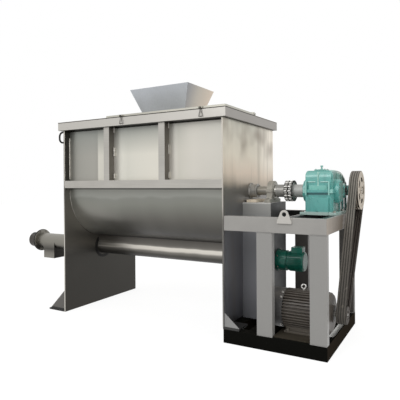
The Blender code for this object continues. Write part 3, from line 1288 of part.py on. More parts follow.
def belt_route():
    """The rims' common tangents and arcs, as (y, z) points round both pulleys."""
    big = Vector((REDUCER_CENTRES, AXIS_HEIGHT))
    small = Vector((MOTOR_Y, MOTOR_Z))
    between = small - big
    heading = math.degrees(math.atan2(between.y, between.x))
    lean = math.degrees(math.acos((DRIVEN_PULLEY_RADIUS - MOTOR_PULLEY_RADIUS) / between.length))
    wraps = ((big, DRIVEN_PULLEY_RADIUS, heading + lean, 360 - 2 * lean, 2 * BELT_ARC_STEPS),
             (small, MOTOR_PULLEY_RADIUS, heading - lean, 2 * lean, BELT_ARC_STEPS))
    route = []
    for centre, radius, start, sweep, steps in wraps:
        # The flats between the points stay outside the turning rim.
        reach = (radius + GAP) / math.cos(math.radians(sweep / steps / 2))
        route += arc(*centre, reach, start, start + sweep, steps)
    return route


def belt_section():
    """Ribs under one thin band, as (out, x) points, with out measured from the pulley's rim."""
    half = BELT_TOP_WIDTH / 2
    foot = half - BELT_DEPTH * GROOVE_SLOPE
    centres = groove_centres()
    points = []
    for x in centres:
        points += [(0, x - half), (-BELT_DEPTH, x - foot), (-BELT_DEPTH, x + foot), (0, x + half)]
    return points + [(BELT_BAND, centres[-1] + half), (BELT_BAND, centres[0] - half)]


def drive_belts():
    """The belt set as a band with one rib in each groove, lofted round the route."""
    route = belt_route()
    section = belt_section()
    shape = bmesh.new()
    rings = []
    count = len(route)
    for index, (y, z) in enumerate(route):
        before = Vector(route[index]) - Vector(route[index - 1])
        after = Vector(route[(index + 1) % count]) - Vector(route[index])
        mitre = (before.normalized() + after.normalized()).normalized()
        outward = Vector((mitre.y, -mitre.x)) / mitre.dot(after.normalized())
        rings.append([shape.verts.new((x, y + out * outward.x, z + out * outward.y)) for out, x in section])
    for index, ring in enumerate(rings):
        after = rings[(index + 1) % count]
        for corner in range(len(section)):
            follow = (corner + 1) % len(section)
            shape.faces.new((ring[corner], ring[follow], after[follow], after[corner]))
    bmesh.ops.recalc_face_normals(shape, faces=shape.faces)
    return finish(from_bmesh("drive_belts", shape), RUBBER)


# Main motor

def motor_places():
    """The ends along X of the cowl, the frame and the drive end bell."""
    frame = MOTOR_START + COWL_LENGTH
    bell = frame + MOTOR_FRAME_LENGTH
    return frame, bell, bell + BELL_LENGTH


def motor_frame():
    """The finned body with its two feet."""
    start, end, _ = motor_places()
    step = TURN / MOTOR_FINS
    fins = []
    for index in range(MOTOR_FINS):
        for share, radius in ((-FIN_ROOT_SHARE, MOTOR_CORE_RADIUS), (-FIN_TIP_SHARE, MOTOR_FIN_RADIUS),
                              (FIN_TIP_SHARE, MOTOR_FIN_RADIUS), (FIN_ROOT_SHARE, MOTOR_CORE_RADIUS)):
            angle = (index + share) * step
            fins.append((MOTOR_Y + radius * math.cos(angle), MOTOR_Z + radius * math.sin(angle)))
    frame = extruded("motor_frame", "X", [fins, circle(MOTOR_Y, MOTOR_Z, bore_of(MOTOR_SHAFT_RADIUS))],
                     start + GAP, end)
    low = MOTOR_Z - MOTOR_CENTRE_HEIGHT
    x = (start + MOTOR_FOOT_INSET, start + MOTOR_FOOT_INSET + MOTOR_FOOT_LENGTH)
    for side in (-1, 1):
        inner = MOTOR_Y + side * MOTOR_FOOT_SPREAD
        outer = inner + side * MOTOR_FOOT_WIDTH
        y = tuple(sorted((inner, outer)))
        join(frame, box(f"motor_foot_{side}", x, y, (low, low + MOTOR_FOOT_THICKNESS)))
        web = tuple(sorted((inner, inner + side * MOTOR_FOOT_THICKNESS)))
        join(frame, box(f"motor_leg_{side}", x, web, (low + WELD_DEPTH, MOTOR_Z - MOTOR_FOOT_SPREAD)))
    return finish(frame, MOTOR_PAINT)


def motor_bell():
    _, start, end = motor_places()
    bore = bore_of(MOTOR_SHAFT_RADIUS)
    neck = 3 * MOTOR_SHAFT_RADIUS
    outline = [(end, bore), (end, neck), (end - ROUNDING, neck), (start + 2 * ROUNDING, COWL_RADIUS - ROUNDING),
               (start + ROUNDING, COWL_RADIUS), (start + GAP, COWL_RADIUS), (start + GAP, bore)]
    return finish(turned("motor_end_bell", outline, MOTOR_Y, MOTOR_Z), MOTOR_PAINT, smooth=True)


def fan_cowl():
    """A sheet cup over the fan, open towards the frame."""
    end = motor_places()[0] - GAP
    start = MOTOR_START
    outer, inner = COWL_RADIUS, COWL_RADIUS - COWL_SHEET
    outline = [(end, inner), (end, outer), (start + ROUNDING, outer), (start, outer - ROUNDING), (start, 0),
               (start + COWL_SHEET, 0), (start + COWL_SHEET, inner - ROUNDING), (start + ROUNDING, inner)]
    return finish(turned("fan_cowl", outline, MOTOR_Y, MOTOR_Z), MOTOR_PAINT, smooth=True)


def cooling_fan():
    """A back disc with straight radial blades on the motor shaft."""
    disc_end = motor_places()[0] - 2 * ROUNDING
    disc = drum("cooling_fan", (disc_end - FAN_DISC_THICKNESS, disc_end), FAN_RADIUS, MOTOR_Y, MOTOR_Z, 24)
    hub = 2 * MOTOR_SHAFT_RADIUS
    x = (disc_end - FAN_BLADE_LENGTH, disc_end - WELD_DEPTH)
    join(disc, drum("fan_hub", x, hub, MOTOR_Y, MOTOR_Z, 16))
    for index in range(FAN_BLADES // 2):
        blade = box(f"fan_blade_{index}", x, (-FAN_BLADE_THICKNESS / 2, FAN_BLADE_THICKNESS / 2),
                    (-FAN_RADIUS + FAN_BLADE_THICKNESS, FAN_RADIUS - FAN_BLADE_THICKNESS))
        blade.location = (0, MOTOR_Y, MOTOR_Z)
        blade.rotation_euler = (TURN * index / FAN_BLADES, 0, 0)
        join(disc, blade)
    cut(disc, drum("fan_bore", (x[0] - OVERRUN, disc_end + OVERRUN), bore_of(MOTOR_SHAFT_RADIUS),
                   MOTOR_Y, MOTOR_Z))
    return finish(disc, MOTOR_PAINT)


def motor_shaft():
    start = motor_places()[0] - 2 * ROUNDING - FAN_BLADE_LENGTH
    shaft = drum("motor_shaft", (start, PULLEY_START + PULLEY_WIDTH), MOTOR_SHAFT_RADIUS, MOTOR_Y, MOTOR_Z)
    return finish(shaft, BRIGHT_STEEL, smooth=True)


def motor_terminal_box():
    """A box on the frame's rear side, seated round its fins."""
    middle = (motor_places()[0] + motor_places()[1]) / 2
    low = MOTOR_Z + MOTOR_BOX_RISE
    x = (middle - MOTOR_BOX_LENGTH / 2, middle + MOTOR_BOX_LENGTH / 2)
    body = box("motor_terminal_box", x,
               (MOTOR_Y + MOTOR_CORE_RADIUS, MOTOR_Y + MOTOR_FIN_RADIUS + MOTOR_BOX_REACH),
               (low, low + MOTOR_BOX_HEIGHT))
    cut(body, drum("motor_box_seat", (x[0] - OVERRUN, x[1] + OVERRUN), bore_of(MOTOR_FIN_RADIUS),
                   MOTOR_Y, MOTOR_Z))
    return finish(body, MOTOR_PAINT)


# Drive stand

def stand_base():
    """Four channels on the floor, bearers for the pedestal and the motor, and the motor's plate."""
    x = (BASE_START, STAND_END)
    y = (STAND_FRONT, STAND_REAR)
    wide = BASE_CHANNEL
    inside_x = (x[0] + wide, x[1] - wide)
    inside_y = (y[0] + wide, y[1] - wide)
    base = box("stand_base_frame", x, y, (0, BASE_HEIGHT))
    bearer_x = (PEDESTAL_FACE - wide, PEDESTAL_FACE + wide / 2)
    bearer_y = (MOTOR_Y + 2 * wide, MOTOR_Y + 3 * wide)
    cut(base,
        box("base_bay_pedestal", (inside_x[0], bearer_x[0]), inside_y, (-OVERRUN, BASE_HEIGHT + OVERRUN)),
        box("base_bay_front", (bearer_x[1], inside_x[1]), (inside_y[0], bearer_y[0]),
            (-OVERRUN, BASE_HEIGHT + OVERRUN)),
        box("base_bay_rear", (bearer_x[1], inside_x[1]), (bearer_y[1], inside_y[1]),
            (-OVERRUN, BASE_HEIGHT + OVERRUN)))
    slot = (END_SLOT_CENTRE - END_SLOT_LENGTH / 2, END_SLOT_CENTRE + END_SLOT_LENGTH / 2)
    slot_end = x[1] - END_SLOT_WALL
    cut(base, box("base_end_slot", (slot_end - END_SLOT_WIDTH, slot_end), slot,
                  (-OVERRUN, BASE_HEIGHT + OVERRUN)))
    # The motor's plate bridges the front bay between the two front posts.
    clear = 2 * WELD_DEPTH
    join(base, box("motor_plate", (INNER_POST_START + POST_WIDTH + clear, STAND_END - POST_WIDTH - clear),
                   (y[0] + MOTOR_PLATE_INSET, bearer_y[1]),
                   (BASE_HEIGHT - WELD_DEPTH, BASE_HEIGHT + MOTOR_PLATE_THICKNESS)))
    return finish(base, BLACK_PAINT)


def post_places():
    low_x = (INNER_POST_START, STAND_END - POST_WIDTH)
    low_y = (STAND_FRONT, STAND_REAR - POST_DEPTH)
    names = (("front_inner_post", 0, 0), ("front_outer_post", 1, 0),
             ("rear_inner_post", 0, 1), ("rear_outer_post", 1, 1))
    return [(name, low_x[i], low_y[j]) for name, i, j in names]


def stand_posts():
    posts = []
    z = (BASE_HEIGHT + GAP, STAND_TOP - BEAM_HEIGHT - GAP)
    for name, x, y in post_places():
        outer = rectangle((x, x + POST_WIDTH), (y, y + POST_DEPTH))
        inner = rectangle((x + POST_WALL, x + POST_WIDTH - POST_WALL),
                          (y + POST_WALL, y + POST_DEPTH - POST_WALL))
        posts.append(finish(extruded(name, "Z", [outer, inner], *z), GREY_PAINT))
    return posts


def stand_top():
    """Front, rear and end beams with a cross beam under the reducer's coupling side."""
    z = (STAND_TOP - BEAM_HEIGHT, STAND_TOP)
    x = (DRIVE_PLATE_FACE + GAP, STAND_END)
    cross = reducer_x(REDUCER_FLANGE_X)[0] - BEAM_WIDTH / 4
    frame = box("stand_top_frame", x, (STAND_FRONT, STAND_FRONT + BEAM_WIDTH), z)
    inside = (STAND_FRONT + BEAM_WIDTH - WELD_DEPTH, STAND_REAR - BEAM_WIDTH + WELD_DEPTH)
    join(frame, box("rear_beam", x, (STAND_REAR - BEAM_WIDTH, STAND_REAR), z),
         box("end_beam", (STAND_END - BEAM_WIDTH, STAND_END), inside, z),
         box("cross_beam", (cross, cross + BEAM_WIDTH), inside, z))
    return finish(frame, GREY_PAINT)


def lifting_lug():
    low = STAND_TOP - LUG_LAP
    crown = low + LUG_HEIGHT - LUG_TOP_RADIUS
    half = LUG_WIDTH / 2
    shoulder = LUG_TOP_RADIUS / 2
    outline = ([(LUG_CENTRE_X - half, low), (LUG_CENTRE_X + half, low), (LUG_CENTRE_X + half, low + shoulder)]
               + arc(LUG_CENTRE_X, crown, LUG_TOP_RADIUS, 10, 170, 10)
               + [(LUG_CENTRE_X - half, low + shoulder)])
    front = STAND_FRONT - GAP
    lug = extruded("stand_lifting_lug", "Y", [outline, circle(LUG_CENTRE_X, crown, LUG_HOLE_RADIUS, 20)],
                   front - LUG_THICKNESS, front)
    return finish(lug, GREY_PAINT)


# Assembly

def build_trough():
    trough_shell()
    end_plate("drive_end_plate", PLATE_INNER, DRIVE_PLATE_FACE, BASE_HEIGHT + FOOT_THICKNESS + 2 * GAP,
              bore_of(AUGER_SHAFT_RADIUS))
    end_plate("far_end_plate", FAR_PLATE_FACE, FAR_PLATE_INNER, 0, TUBE_RADIUS + GAP)
    far_foot()
    drive_foot()
    top_rim()
    panel_frame("front_panel_frame", -1)
    panel_frame("rear_panel_frame", 1)
    fixed_cover()
    inlet_hopper()
    hinge_pin()
    lifting_handle()
    lid = access_lid()
    gasket = lid_gasket()
    lid_axis = carry("lid_axis", (RIM_DRIVE_X - LID_LENGTH / 2, 0, HINGE_Z), [lid, gasket])
    for index, x in enumerate(clamp_places()):
        name = f"lid_clamp_{index + 1}"
        clamp_axis = carry(f"{name}_axis", (x, clamp_axis_y(), clamp_axis_z()), [clamp_strap(name, x)])
        clamp_axis.parent = lid_axis
        clamp_axis.matrix_parent_inverse = lid_axis.matrix_world.inverted()


def build_agitator():
    seal_housing("drive_seal_housing", DRIVE_PLATE_FACE, PLATE_INNER, 1)
    seal_housing("far_seal_housing", FAR_PLATE_FACE, FAR_PLATE_INNER, -1)
    pillow_block("drive_bearing", DRIVE_BEARING_X)
    pillow_block("far_bearing", FAR_BEARING_X)
    bearing_pedestal()
    packing_plate()
    far_bearing_bracket()
    output, entry = reducer_shafts()
    turning = [agitator_shaft(), *ribbons(), *coupling_hubs(), coupling_chain(), output]
    carry("agitator_axis", (0, 0, AXIS_HEIGHT), turning)
    carry("reducer_input_axis", (PULLEY_START, REDUCER_CENTRES, AXIS_HEIGHT), [entry, driven_pulley()])


def build_discharge():
    discharge_trough()
    outlet_tube()
    screw_end_housing()
    screw_shaft_seal()
    screw_gear_head()
    screw_motor()
    screw_terminal_box()
    carry("screw_axis", (0, 0, TUBE_Z), [screw_auger()])


def build_drive():
    reducer_case()
    reducer_cover()
    inspection_cover()
    drive_belts()
    motor_frame()
    motor_bell()
    fan_cowl()
    motor_terminal_box()
    carry("motor_axis", (PULLEY_START, MOTOR_Y, MOTOR_Z), [motor_shaft(), cooling_fan(), motor_pulley()])


def build_stand():
    stand_base()
    stand_posts()
    stand_top()
    lifting_lug()


clear_scene()
PARTS = new_collection("Ribbon blender")
CUTTERS = new_collection("Cutters")
build_trough()
build_agitator()
build_discharge()
build_drive()
build_stand()
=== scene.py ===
"""Looks of a ribbon blender: plate and paint finishes, fasteners, welds, belts and chain over its solids.

Metres, with +X along the agitator towards the drive, -Y the operator's side and +Z up.
"""

import json
import math

import bmesh
import bpy
from mathutils import Matrix, Vector


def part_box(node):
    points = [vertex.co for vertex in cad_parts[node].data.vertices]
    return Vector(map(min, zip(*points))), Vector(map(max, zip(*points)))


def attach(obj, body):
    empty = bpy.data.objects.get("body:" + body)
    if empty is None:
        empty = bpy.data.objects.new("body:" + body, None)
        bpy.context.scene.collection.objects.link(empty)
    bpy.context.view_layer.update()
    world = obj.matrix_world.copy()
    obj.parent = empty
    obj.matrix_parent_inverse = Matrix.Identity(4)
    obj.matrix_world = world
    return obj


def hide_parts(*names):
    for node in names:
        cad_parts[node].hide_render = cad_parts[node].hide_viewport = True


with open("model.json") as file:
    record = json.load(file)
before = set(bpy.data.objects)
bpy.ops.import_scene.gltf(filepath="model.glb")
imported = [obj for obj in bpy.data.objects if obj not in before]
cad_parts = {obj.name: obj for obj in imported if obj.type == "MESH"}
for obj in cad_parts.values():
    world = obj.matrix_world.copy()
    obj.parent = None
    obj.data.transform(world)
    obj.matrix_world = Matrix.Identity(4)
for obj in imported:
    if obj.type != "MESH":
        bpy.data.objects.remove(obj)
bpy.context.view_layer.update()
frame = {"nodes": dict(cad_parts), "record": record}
solids = frame["nodes"]

TURN = 2 * math.pi
AGITATOR_Z = 1.545
SCREW_Z = 0.770
INPUT_Y = 0.400
MOTOR_Y = -0.360
MOTOR_Z = 0.3521
DRIVE_FACE = -0.0447
FAR_FACE = -2.3328
PULLEY_MIDDLE = 1.012 + 0.098 / 2
REDUCER_X = 0.787
BELT_COUNT = 4
BELT_PITCH = 0.0235
BELT_START = PULLEY_MIDDLE - BELT_COUNT / 2 * BELT_PITCH
ALONG_X, ALONG_Y, ALONG_Z = (1, 0, 0), (0, 1, 0), (0, 0, 1)
FRONT = (0, -1, 0)


def round_point(radius, angle):
    """A point of a circle, across and up from its centre."""
    return radius * math.cos(angle), radius * math.sin(angle)


def linear(red, green, blue):
    """A colour as on a paint chart, 0 to 255, for a linear socket."""
    shares = [value / 255 for value in (red, green, blue)]
    return tuple(s / 12.92 if s < 0.04045 else ((s + 0.055) / 1.055) ** 2.4 for s in shares) + (1.0,)


# Node trees

def add_node(tree, kind, inputs=None, **settings):
    """A node with its settings and inputs. An input is a value or another node's output socket."""
    made = tree.nodes.new(kind)
    for key, value in settings.items():
        setattr(made, key, value)
    for key, value in (inputs or {}).items():
        if isinstance(value, bpy.types.NodeSocket):
            tree.links.new(value, made.inputs[key])
        else:
            made.inputs[key].default_value = value
    return made


def result_of(tree, operation, first, second):
    """The result of one operation on two values, such as their product."""
    return add_node(tree, "ShaderNodeMath", {0: first, 1: second}, operation=operation).outputs[0]


def new_group(name, kind, inputs, outputs):
    """A node group with named sockets. It returns the tree, its inputs and its output node."""
    tree = bpy.data.node_groups.new(name, kind)
    for label, socket, value in inputs:
        made = tree.interface.new_socket(label, in_out="INPUT", socket_type=socket)
        if value is not None:
            made.default_value = value
    for label, socket in outputs:
        tree.interface.new_socket(label, in_out="OUTPUT", socket_type=socket)
    return tree, tree.nodes.new("NodeGroupInput").outputs, tree.nodes.new("NodeGroupOutput")


NUMBER, VECTOR = "NodeSocketFloat", "NodeSocketVector"
SHAPE, PAINT = "NodeSocketGeometry", "NodeSocketMaterial"


def stretched_noise(tree, place, stretch, scale, detail=3.0):
    """Noise that is drawn out along the axis with the smallest stretch."""
    scaled = add_node(tree, "ShaderNodeVectorMath", {0: place, 1: stretch}, operation="MULTIPLY").outputs[0]
    return add_node(tree, "ShaderNodeTexNoise",
                    {"Vector": scaled, "Scale": scale, "Detail": detail, "Roughness": 0.6})


def brushed_grain():
    """Fine lines left by the rolling mill and the polishing belt, along the axis that is stretched least."""
    tree, given, out = new_group("Brushed grain", "ShaderNodeTree",
                                 [("Vector", VECTOR, None), ("Stretch", VECTOR, (1.0, 1.0, 1.0)),
                                  ("Scale", NUMBER, 60.0)],
                                 [("Grain", NUMBER), ("Drift", NUMBER)])
    fine = stretched_noise(tree, given["Vector"], given["Stretch"], given["Scale"])
    drift = add_node(tree, "ShaderNodeTexNoise", {"Vector": given["Vector"], "Scale": 2.3, "Detail": 4.0})
    tree.links.new(fine.outputs[0], out.inputs["Grain"])
    tree.links.new(drift.outputs[0], out.inputs["Drift"])
    return tree


def run_marks():
    """Stains that have run down a wall: narrow across, long in height, with clean gaps between them."""
    tree, given, out = new_group("Run marks", "ShaderNodeTree",
                                 [("Vector", VECTOR, None), ("Scale", NUMBER, 9.0), ("Least", NUMBER, 0.5),
                                  ("Most", NUMBER, 0.75)],
                                 [("Mask", NUMBER)])
    marks = stretched_noise(tree, given["Vector"], (1.0, 1.0, 0.09), given["Scale"], 5.0)
    mask = add_node(tree, "ShaderNodeMapRange", {0: marks.outputs[0], 1: given["Least"], 2: given["Most"]})
    mask.interpolation_type = "SMOOTHSTEP"
    tree.links.new(mask.outputs[0], out.inputs["Mask"])
    return tree


def settled_dust():
    """Powder and dust that lie on faces that look up."""
    tree, given, out = new_group("Settled dust", "ShaderNodeTree",
                                 [("Vector", VECTOR, None), ("Normal", VECTOR, None),
                                  ("Amount", NUMBER, 0.4)],
                                 [("Mask", NUMBER)])
    up = add_node(tree, "ShaderNodeVectorMath", {0: given["Normal"], 1: (0, 0, 1)}, operation="DOT_PRODUCT")
    lying = add_node(tree, "ShaderNodeMapRange", {0: up.outputs["Value"], 1: 0.45, 2: 1.0})
    patches = add_node(tree, "ShaderNodeTexNoise", {"Vector": given["Vector"], "Scale": 14.0, "Detail": 6.0})
    spread = add_node(tree, "ShaderNodeMapRange", {0: patches.outputs[0], 1: 0.3, 2: 0.7})
    both = result_of(tree, "MULTIPLY", lying.outputs[0], spread.outputs[0])
    tree.links.new(result_of(tree, "MULTIPLY", both, given["Amount"]), out.inputs["Mask"])
    return tree


def cast_skin():
    """The sand-cast surface: soft lumps with fine grit on them."""
    tree, given, out = new_group("Cast skin", "ShaderNodeTree",
                                 [("Vector", VECTOR, None), ("Scale", NUMBER, 120.0)],
                                 [("Height", NUMBER), ("Lumps", NUMBER)])
    lumps = add_node(tree, "ShaderNodeTexNoise", {"Vector": given["Vector"], "Scale": 18.0, "Detail": 3.0})
    grit = add_node(tree, "ShaderNodeTexNoise",
                    {"Vector": given["Vector"], "Scale": given["Scale"], "Detail": 6.0})
    both = add_node(tree, "ShaderNodeMath", {0: grit.outputs[0], 1: 0.5, 2: lumps.outputs[0]},
                    operation="MULTIPLY_ADD")
    tree.links.new(both.outputs[0], out.inputs["Height"])
    tree.links.new(lumps.outputs[0], out.inputs["Lumps"])
    return tree


def worn_spots():
    """Small knocks and rubs that go through a coat of paint."""
    tree, given, out = new_group("Worn spots", "ShaderNodeTree",
                                 [("Vector", VECTOR, None), ("Scale", NUMBER, 30.0), ("Least", NUMBER, 0.68)],
                                 [("Mask", NUMBER)])
    spots = add_node(tree, "ShaderNodeTexNoise", {"Vector": given["Vector"], "Scale": given["Scale"],
                                                  "Detail": 8.0, "Roughness": 0.7})
    most = result_of(tree, "ADD", given["Least"], 0.03)
    mask = add_node(tree, "ShaderNodeMapRange", {0: spots.outputs[0], 1: given["Least"], 2: most})
    tree.links.new(mask.outputs[0], out.inputs["Mask"])
    return tree


BRUSHED_GRAIN = brushed_grain()
RUN_MARKS = run_marks()
SETTLED_DUST = settled_dust()
CAST_SKIN = cast_skin()
WORN_SPOTS = worn_spots()


class Finish:
    """A material being built up: its shader, the place on the piece and the effects laid over it."""

    def __init__(self, name, colour, roughness, metallic=0.0, **plain):
        self.material = bpy.data.materials.new(name)
        self.material.use_nodes = True
        self.tree = self.material.node_tree
        self.tree.nodes.clear()
        self.shader = self.add("ShaderNodeBsdfPrincipled",
                               {"Roughness": roughness, "Metallic": metallic, **plain})
        self.add("ShaderNodeOutputMaterial", {"Surface": self.shader.outputs[0]})
        self.place = self.add("ShaderNodeTexCoord").outputs["Object"]
        self.facing = self.add("ShaderNodeNewGeometry").outputs["Normal"]
        self.colour = self.add("ShaderNodeRGB").outputs[0]
        self.colour.default_value = linear(*colour)
        self.height = None

    def add(self, kind, inputs=None, **settings):
        """A node in this material's tree."""
        return add_node(self.tree, kind, inputs, **settings)

    def effect(self, group, **inputs):
        """The outputs of one of the shared effects, with this material's own values."""
        return self.add("ShaderNodeGroup", {"Vector": self.place, **inputs}, node_tree=group).outputs

    def noise(self, scale, detail=4.0, stretch=(1, 1, 1)):
        """Soft noise fixed to the piece."""
        return stretched_noise(self.tree, self.place, stretch, scale, detail).outputs[0]

    def ranged(self, value, low, high, least=0.0, most=1.0):
        """A value that goes from low to high, put between least and most."""
        return self.add("ShaderNodeMapRange", {0: value, 1: low, 2: high, 3: least, 4: most}).outputs[0]

    def times(self, first, second):
        """The product of two masks: set only where both are."""
        return result_of(self.tree, "MULTIPLY", first, second)

    def along(self, axis):
        """The distance from the origin along an axis."""
        measured = self.add("ShaderNodeVectorMath", {0: self.place, 1: axis}, operation="DOT_PRODUCT")
        return measured.outputs["Value"]

    def past(self, axis, start, end, least=0.0, most=1.0):
        """A mask that rises between two places along an axis, and stays set beyond the second."""
        return self.ranged(self.along(axis), start, end, least, most)

    def waved(self, scale, detail, stretch, rise):
        """The height, moved up and down by soft noise, for stains with an uneven edge."""
        soft = self.noise(scale, detail, stretch)
        return self.add("ShaderNodeMath", {0: soft, 1: rise, 2: self.along(ALONG_Z)},
                        operation="MULTIPLY_ADD").outputs[0]

    def within(self, low, high):
        """A mask that is set between two corners of a box."""
        mask = 1.0
        for axis, start, end in zip((ALONG_X, ALONG_Y, ALONG_Z), low, high):
            middle, reach = (start + end) / 2, (end - start) / 2
            here = self.add("ShaderNodeMath", {0: self.along(axis), 1: middle, 2: reach}, operation="COMPARE")
            mask = self.times(here.outputs[0], mask)
        return mask

    def towards(self, direction, least=0.6, most=0.9):
        """A mask that is set on faces that look in a direction."""
        faced = self.add("ShaderNodeVectorMath", {0: self.facing, 1: direction}, operation="DOT_PRODUCT")
        return self.ranged(faced.outputs["Value"], least, most)

    def steps(self, value, stops):
        """Colours set at distances, given as (distance, (r, g, b)), with even changes between them."""
        low, high = stops[0][0], stops[-1][0]
        ramp = self.add("ShaderNodeValToRGB", {0: self.ranged(value, low, high)})
        elements = ramp.color_ramp.elements
        while len(elements) < len(stops):
            elements.new(0.5)
        for element, (distance, _) in zip(elements, stops):
            element.position = (distance - low) / (high - low)
        for element, (_, colour) in zip(elements, stops):
            element.color = linear(*colour)
        return ramp.outputs[0]

    def bands(self, axis, stops):
        """Colours set at places along an axis, with even changes between them."""
        return self.steps(self.along(axis), stops)

    def lay(self, colour, *masks, blend="MIX"):
        """Lays a colour over what is there, where every mask is set."""
        over = colour if isinstance(colour, bpy.types.NodeSocket) else linear(*colour)
        mask = masks[0] if masks else 1.0
        for other in masks[1:]:
            mask = self.times(mask, other)
        mixed = self.add("ShaderNodeMix", {0: mask, 6: self.colour, 7: over}, data_type="RGBA",
                         blend_type=blend)
        self.colour = mixed.outputs[2]
        return self

    def dusty(self, colour, amount):
        """Lays dust on the faces that look up."""
        return self.lay(colour, self.effect(SETTLED_DUST, Normal=self.facing, Amount=amount)["Mask"])

    def shade(self, value, least, most):
        """Darkens or lightens with a value from 0 to 1."""
        level = self.ranged(value, 0.25, 0.75, least, most)
        grey = self.add("ShaderNodeCombineColor", {0: level, 1: level, 2: level}).outputs[0]
        return self.lay(grey, blend="MULTIPLY")

    def rough(self, value, least, most):
        """Roughness between two values, so that the gloss is uneven."""
        self.tree.links.new(self.ranged(value, 0.25, 0.75, least, most), self.shader.inputs["Roughness"])
        return self

    def relief(self, height, distance, strength=0.5):
        """Bumps of a real height in metres, over the ones that are there."""
        bump = self.add("ShaderNodeBump", {"Height": height, "Distance": distance, "Strength": strength})
        if self.height is not None:
            self.tree.links.new(self.height, bump.inputs["Normal"])
        self.height = bump.outputs[0]
        return self

    def done(self):
        """Joins the colour and the relief to the shader and gives the material."""
        self.tree.links.new(self.colour, self.shader.inputs["Base Color"])
        if self.height is not None:
            self.tree.links.new(self.height, self.shader.inputs["Normal"])
        return self.material


# Finishes

GRAIN_X, GRAIN_Y, GRAIN_Z = (0.04, 1.0, 1.0), (1.0, 0.04, 1.0), (1.0, 1.0, 0.04)


def sheet_steel(name, colour, grain=GRAIN_X, roughness=(0.28, 0.42), metallic=0.75, marks=0.12, dust=0.25):
    """Brushed stainless plate with fine grain, cloudy patches, run marks and a little dust."""
    finish = Finish(name, colour, 0.35, metallic)
    lines = finish.effect(BRUSHED_GRAIN, Stretch=grain, Scale=90.0)
    finish.shade(lines["Grain"], 0.93, 1.05)
    finish.shade(lines["Drift"], 0.93, 1.06)
    finish.lay((118, 108, 94), finish.effect(RUN_MARKS)["Mask"], marks)
    finish.dusty((198, 194, 186), dust)
    finish.rough(lines["Drift"], *roughness)
    finish.relief(lines["Grain"], 0.0004, 0.35)
    return finish


def painted(name, colour, roughness=(0.34, 0.5), worn=0.66, under=(96, 92, 86), dust=0.3, coat=0.0,
            gloss=0.4):
    """A brushed or sprayed coat with orange peel, rubbed spots and dust on top."""
    finish = Finish(name, colour, 0.4, 0.0, **{"Specular IOR Level": gloss, "Coat Weight": coat,
                                               "Coat Roughness": 0.12})
    finish.shade(finish.noise(3.0), 0.93, 1.06)
    finish.lay(under, finish.effect(WORN_SPOTS, Scale=26.0, Least=worn)["Mask"], 0.55)
    finish.dusty((150, 143, 132), dust)
    finish.rough(finish.noise(9.0), *roughness)
    finish.relief(finish.noise(240.0, 2.0), 0.0003, 0.3)
    return finish


def trough_plate():
    """The trough's plate: painted light on the flat panel walls and painted shade on the rolled bottom,
    darker downwards.
    """
    finish = sheet_steel("Trough plate", (170, 168, 160), GRAIN_X, marks=0.10, dust=0.1)
    # Painted light: the panel walls' tone bands stand for reflections, and the bright strips beside the ribs
    # offset their shade.
    wall = finish.bands(ALONG_X, [
        (-2.32, (158, 157, 150)), (-1.90, (164, 162, 155)), (-1.835, (160, 158, 151)),
        (-1.83, (209, 206, 196)), (-1.66, (202, 199, 189)), (-1.57, (246, 244, 236)),
        (-1.50, (226, 224, 214)), (-1.36, (210, 208, 198)), (-0.86, (220, 216, 205)),
        (-0.775, (248, 245, 236)), (-0.72, (220, 216, 207)), (-0.64, (200, 197, 187)),
        (-0.45, (206, 202, 193)), (-0.06, (197, 194, 186))])
    finish.lay(wall, finish.past(ALONG_Z, 1.55, 1.60))
    # Painted shade on the top of the panel walls under the rim, stronger towards the far end.
    shade_under_rim = finish.past(ALONG_Z, 1.98, 2.30)
    finish.lay((144, 147, 142), shade_under_rim, finish.past(ALONG_X, -0.5, -0.9, 0.25, 0.88))
    # Painted shadow: a black line on the wall under the rail.
    finish.lay((18, 17, 16), finish.within((-3, -1, 1.562), (0, 1, 1.590)))
    # Painted shadow: a dark line on the wall under the rim.
    finish.lay((44, 42, 39), finish.within((-3, -1, 2.303), (0, 1, 2.320)))
    # Painted shade and reflection on the rolled bottom: darker downwards, where it faces the floor.
    wave = finish.waved(1.6, 2.0, (1.0, 0.1, 0.1), 0.16)
    bottom = finish.steps(wave, [
        (0.96, (66, 64, 60)), (1.02, (46, 44, 41)), (1.10, (56, 54, 50)), (1.28, (99, 97, 92)),
        (1.47, (126, 127, 120)), (1.535, (130, 131, 125)), (1.565, (143, 144, 138)), (1.68, (139, 139, 133))])
    finish.lay(bottom, finish.past(ALONG_Z, 1.60, 1.55))
    # Painted light in the far bottom corner, against the shade that gathers there.
    corner = finish.times(finish.past(ALONG_X, -1.50, -2.25, 0.0, 0.75),
                          finish.past(ALONG_Z, 1.45, 1.25))
    finish.lay((166, 164, 157), corner, finish.past(ALONG_Z, 0.93, 1.06, 0.15, 1.0))
    return finish.done()


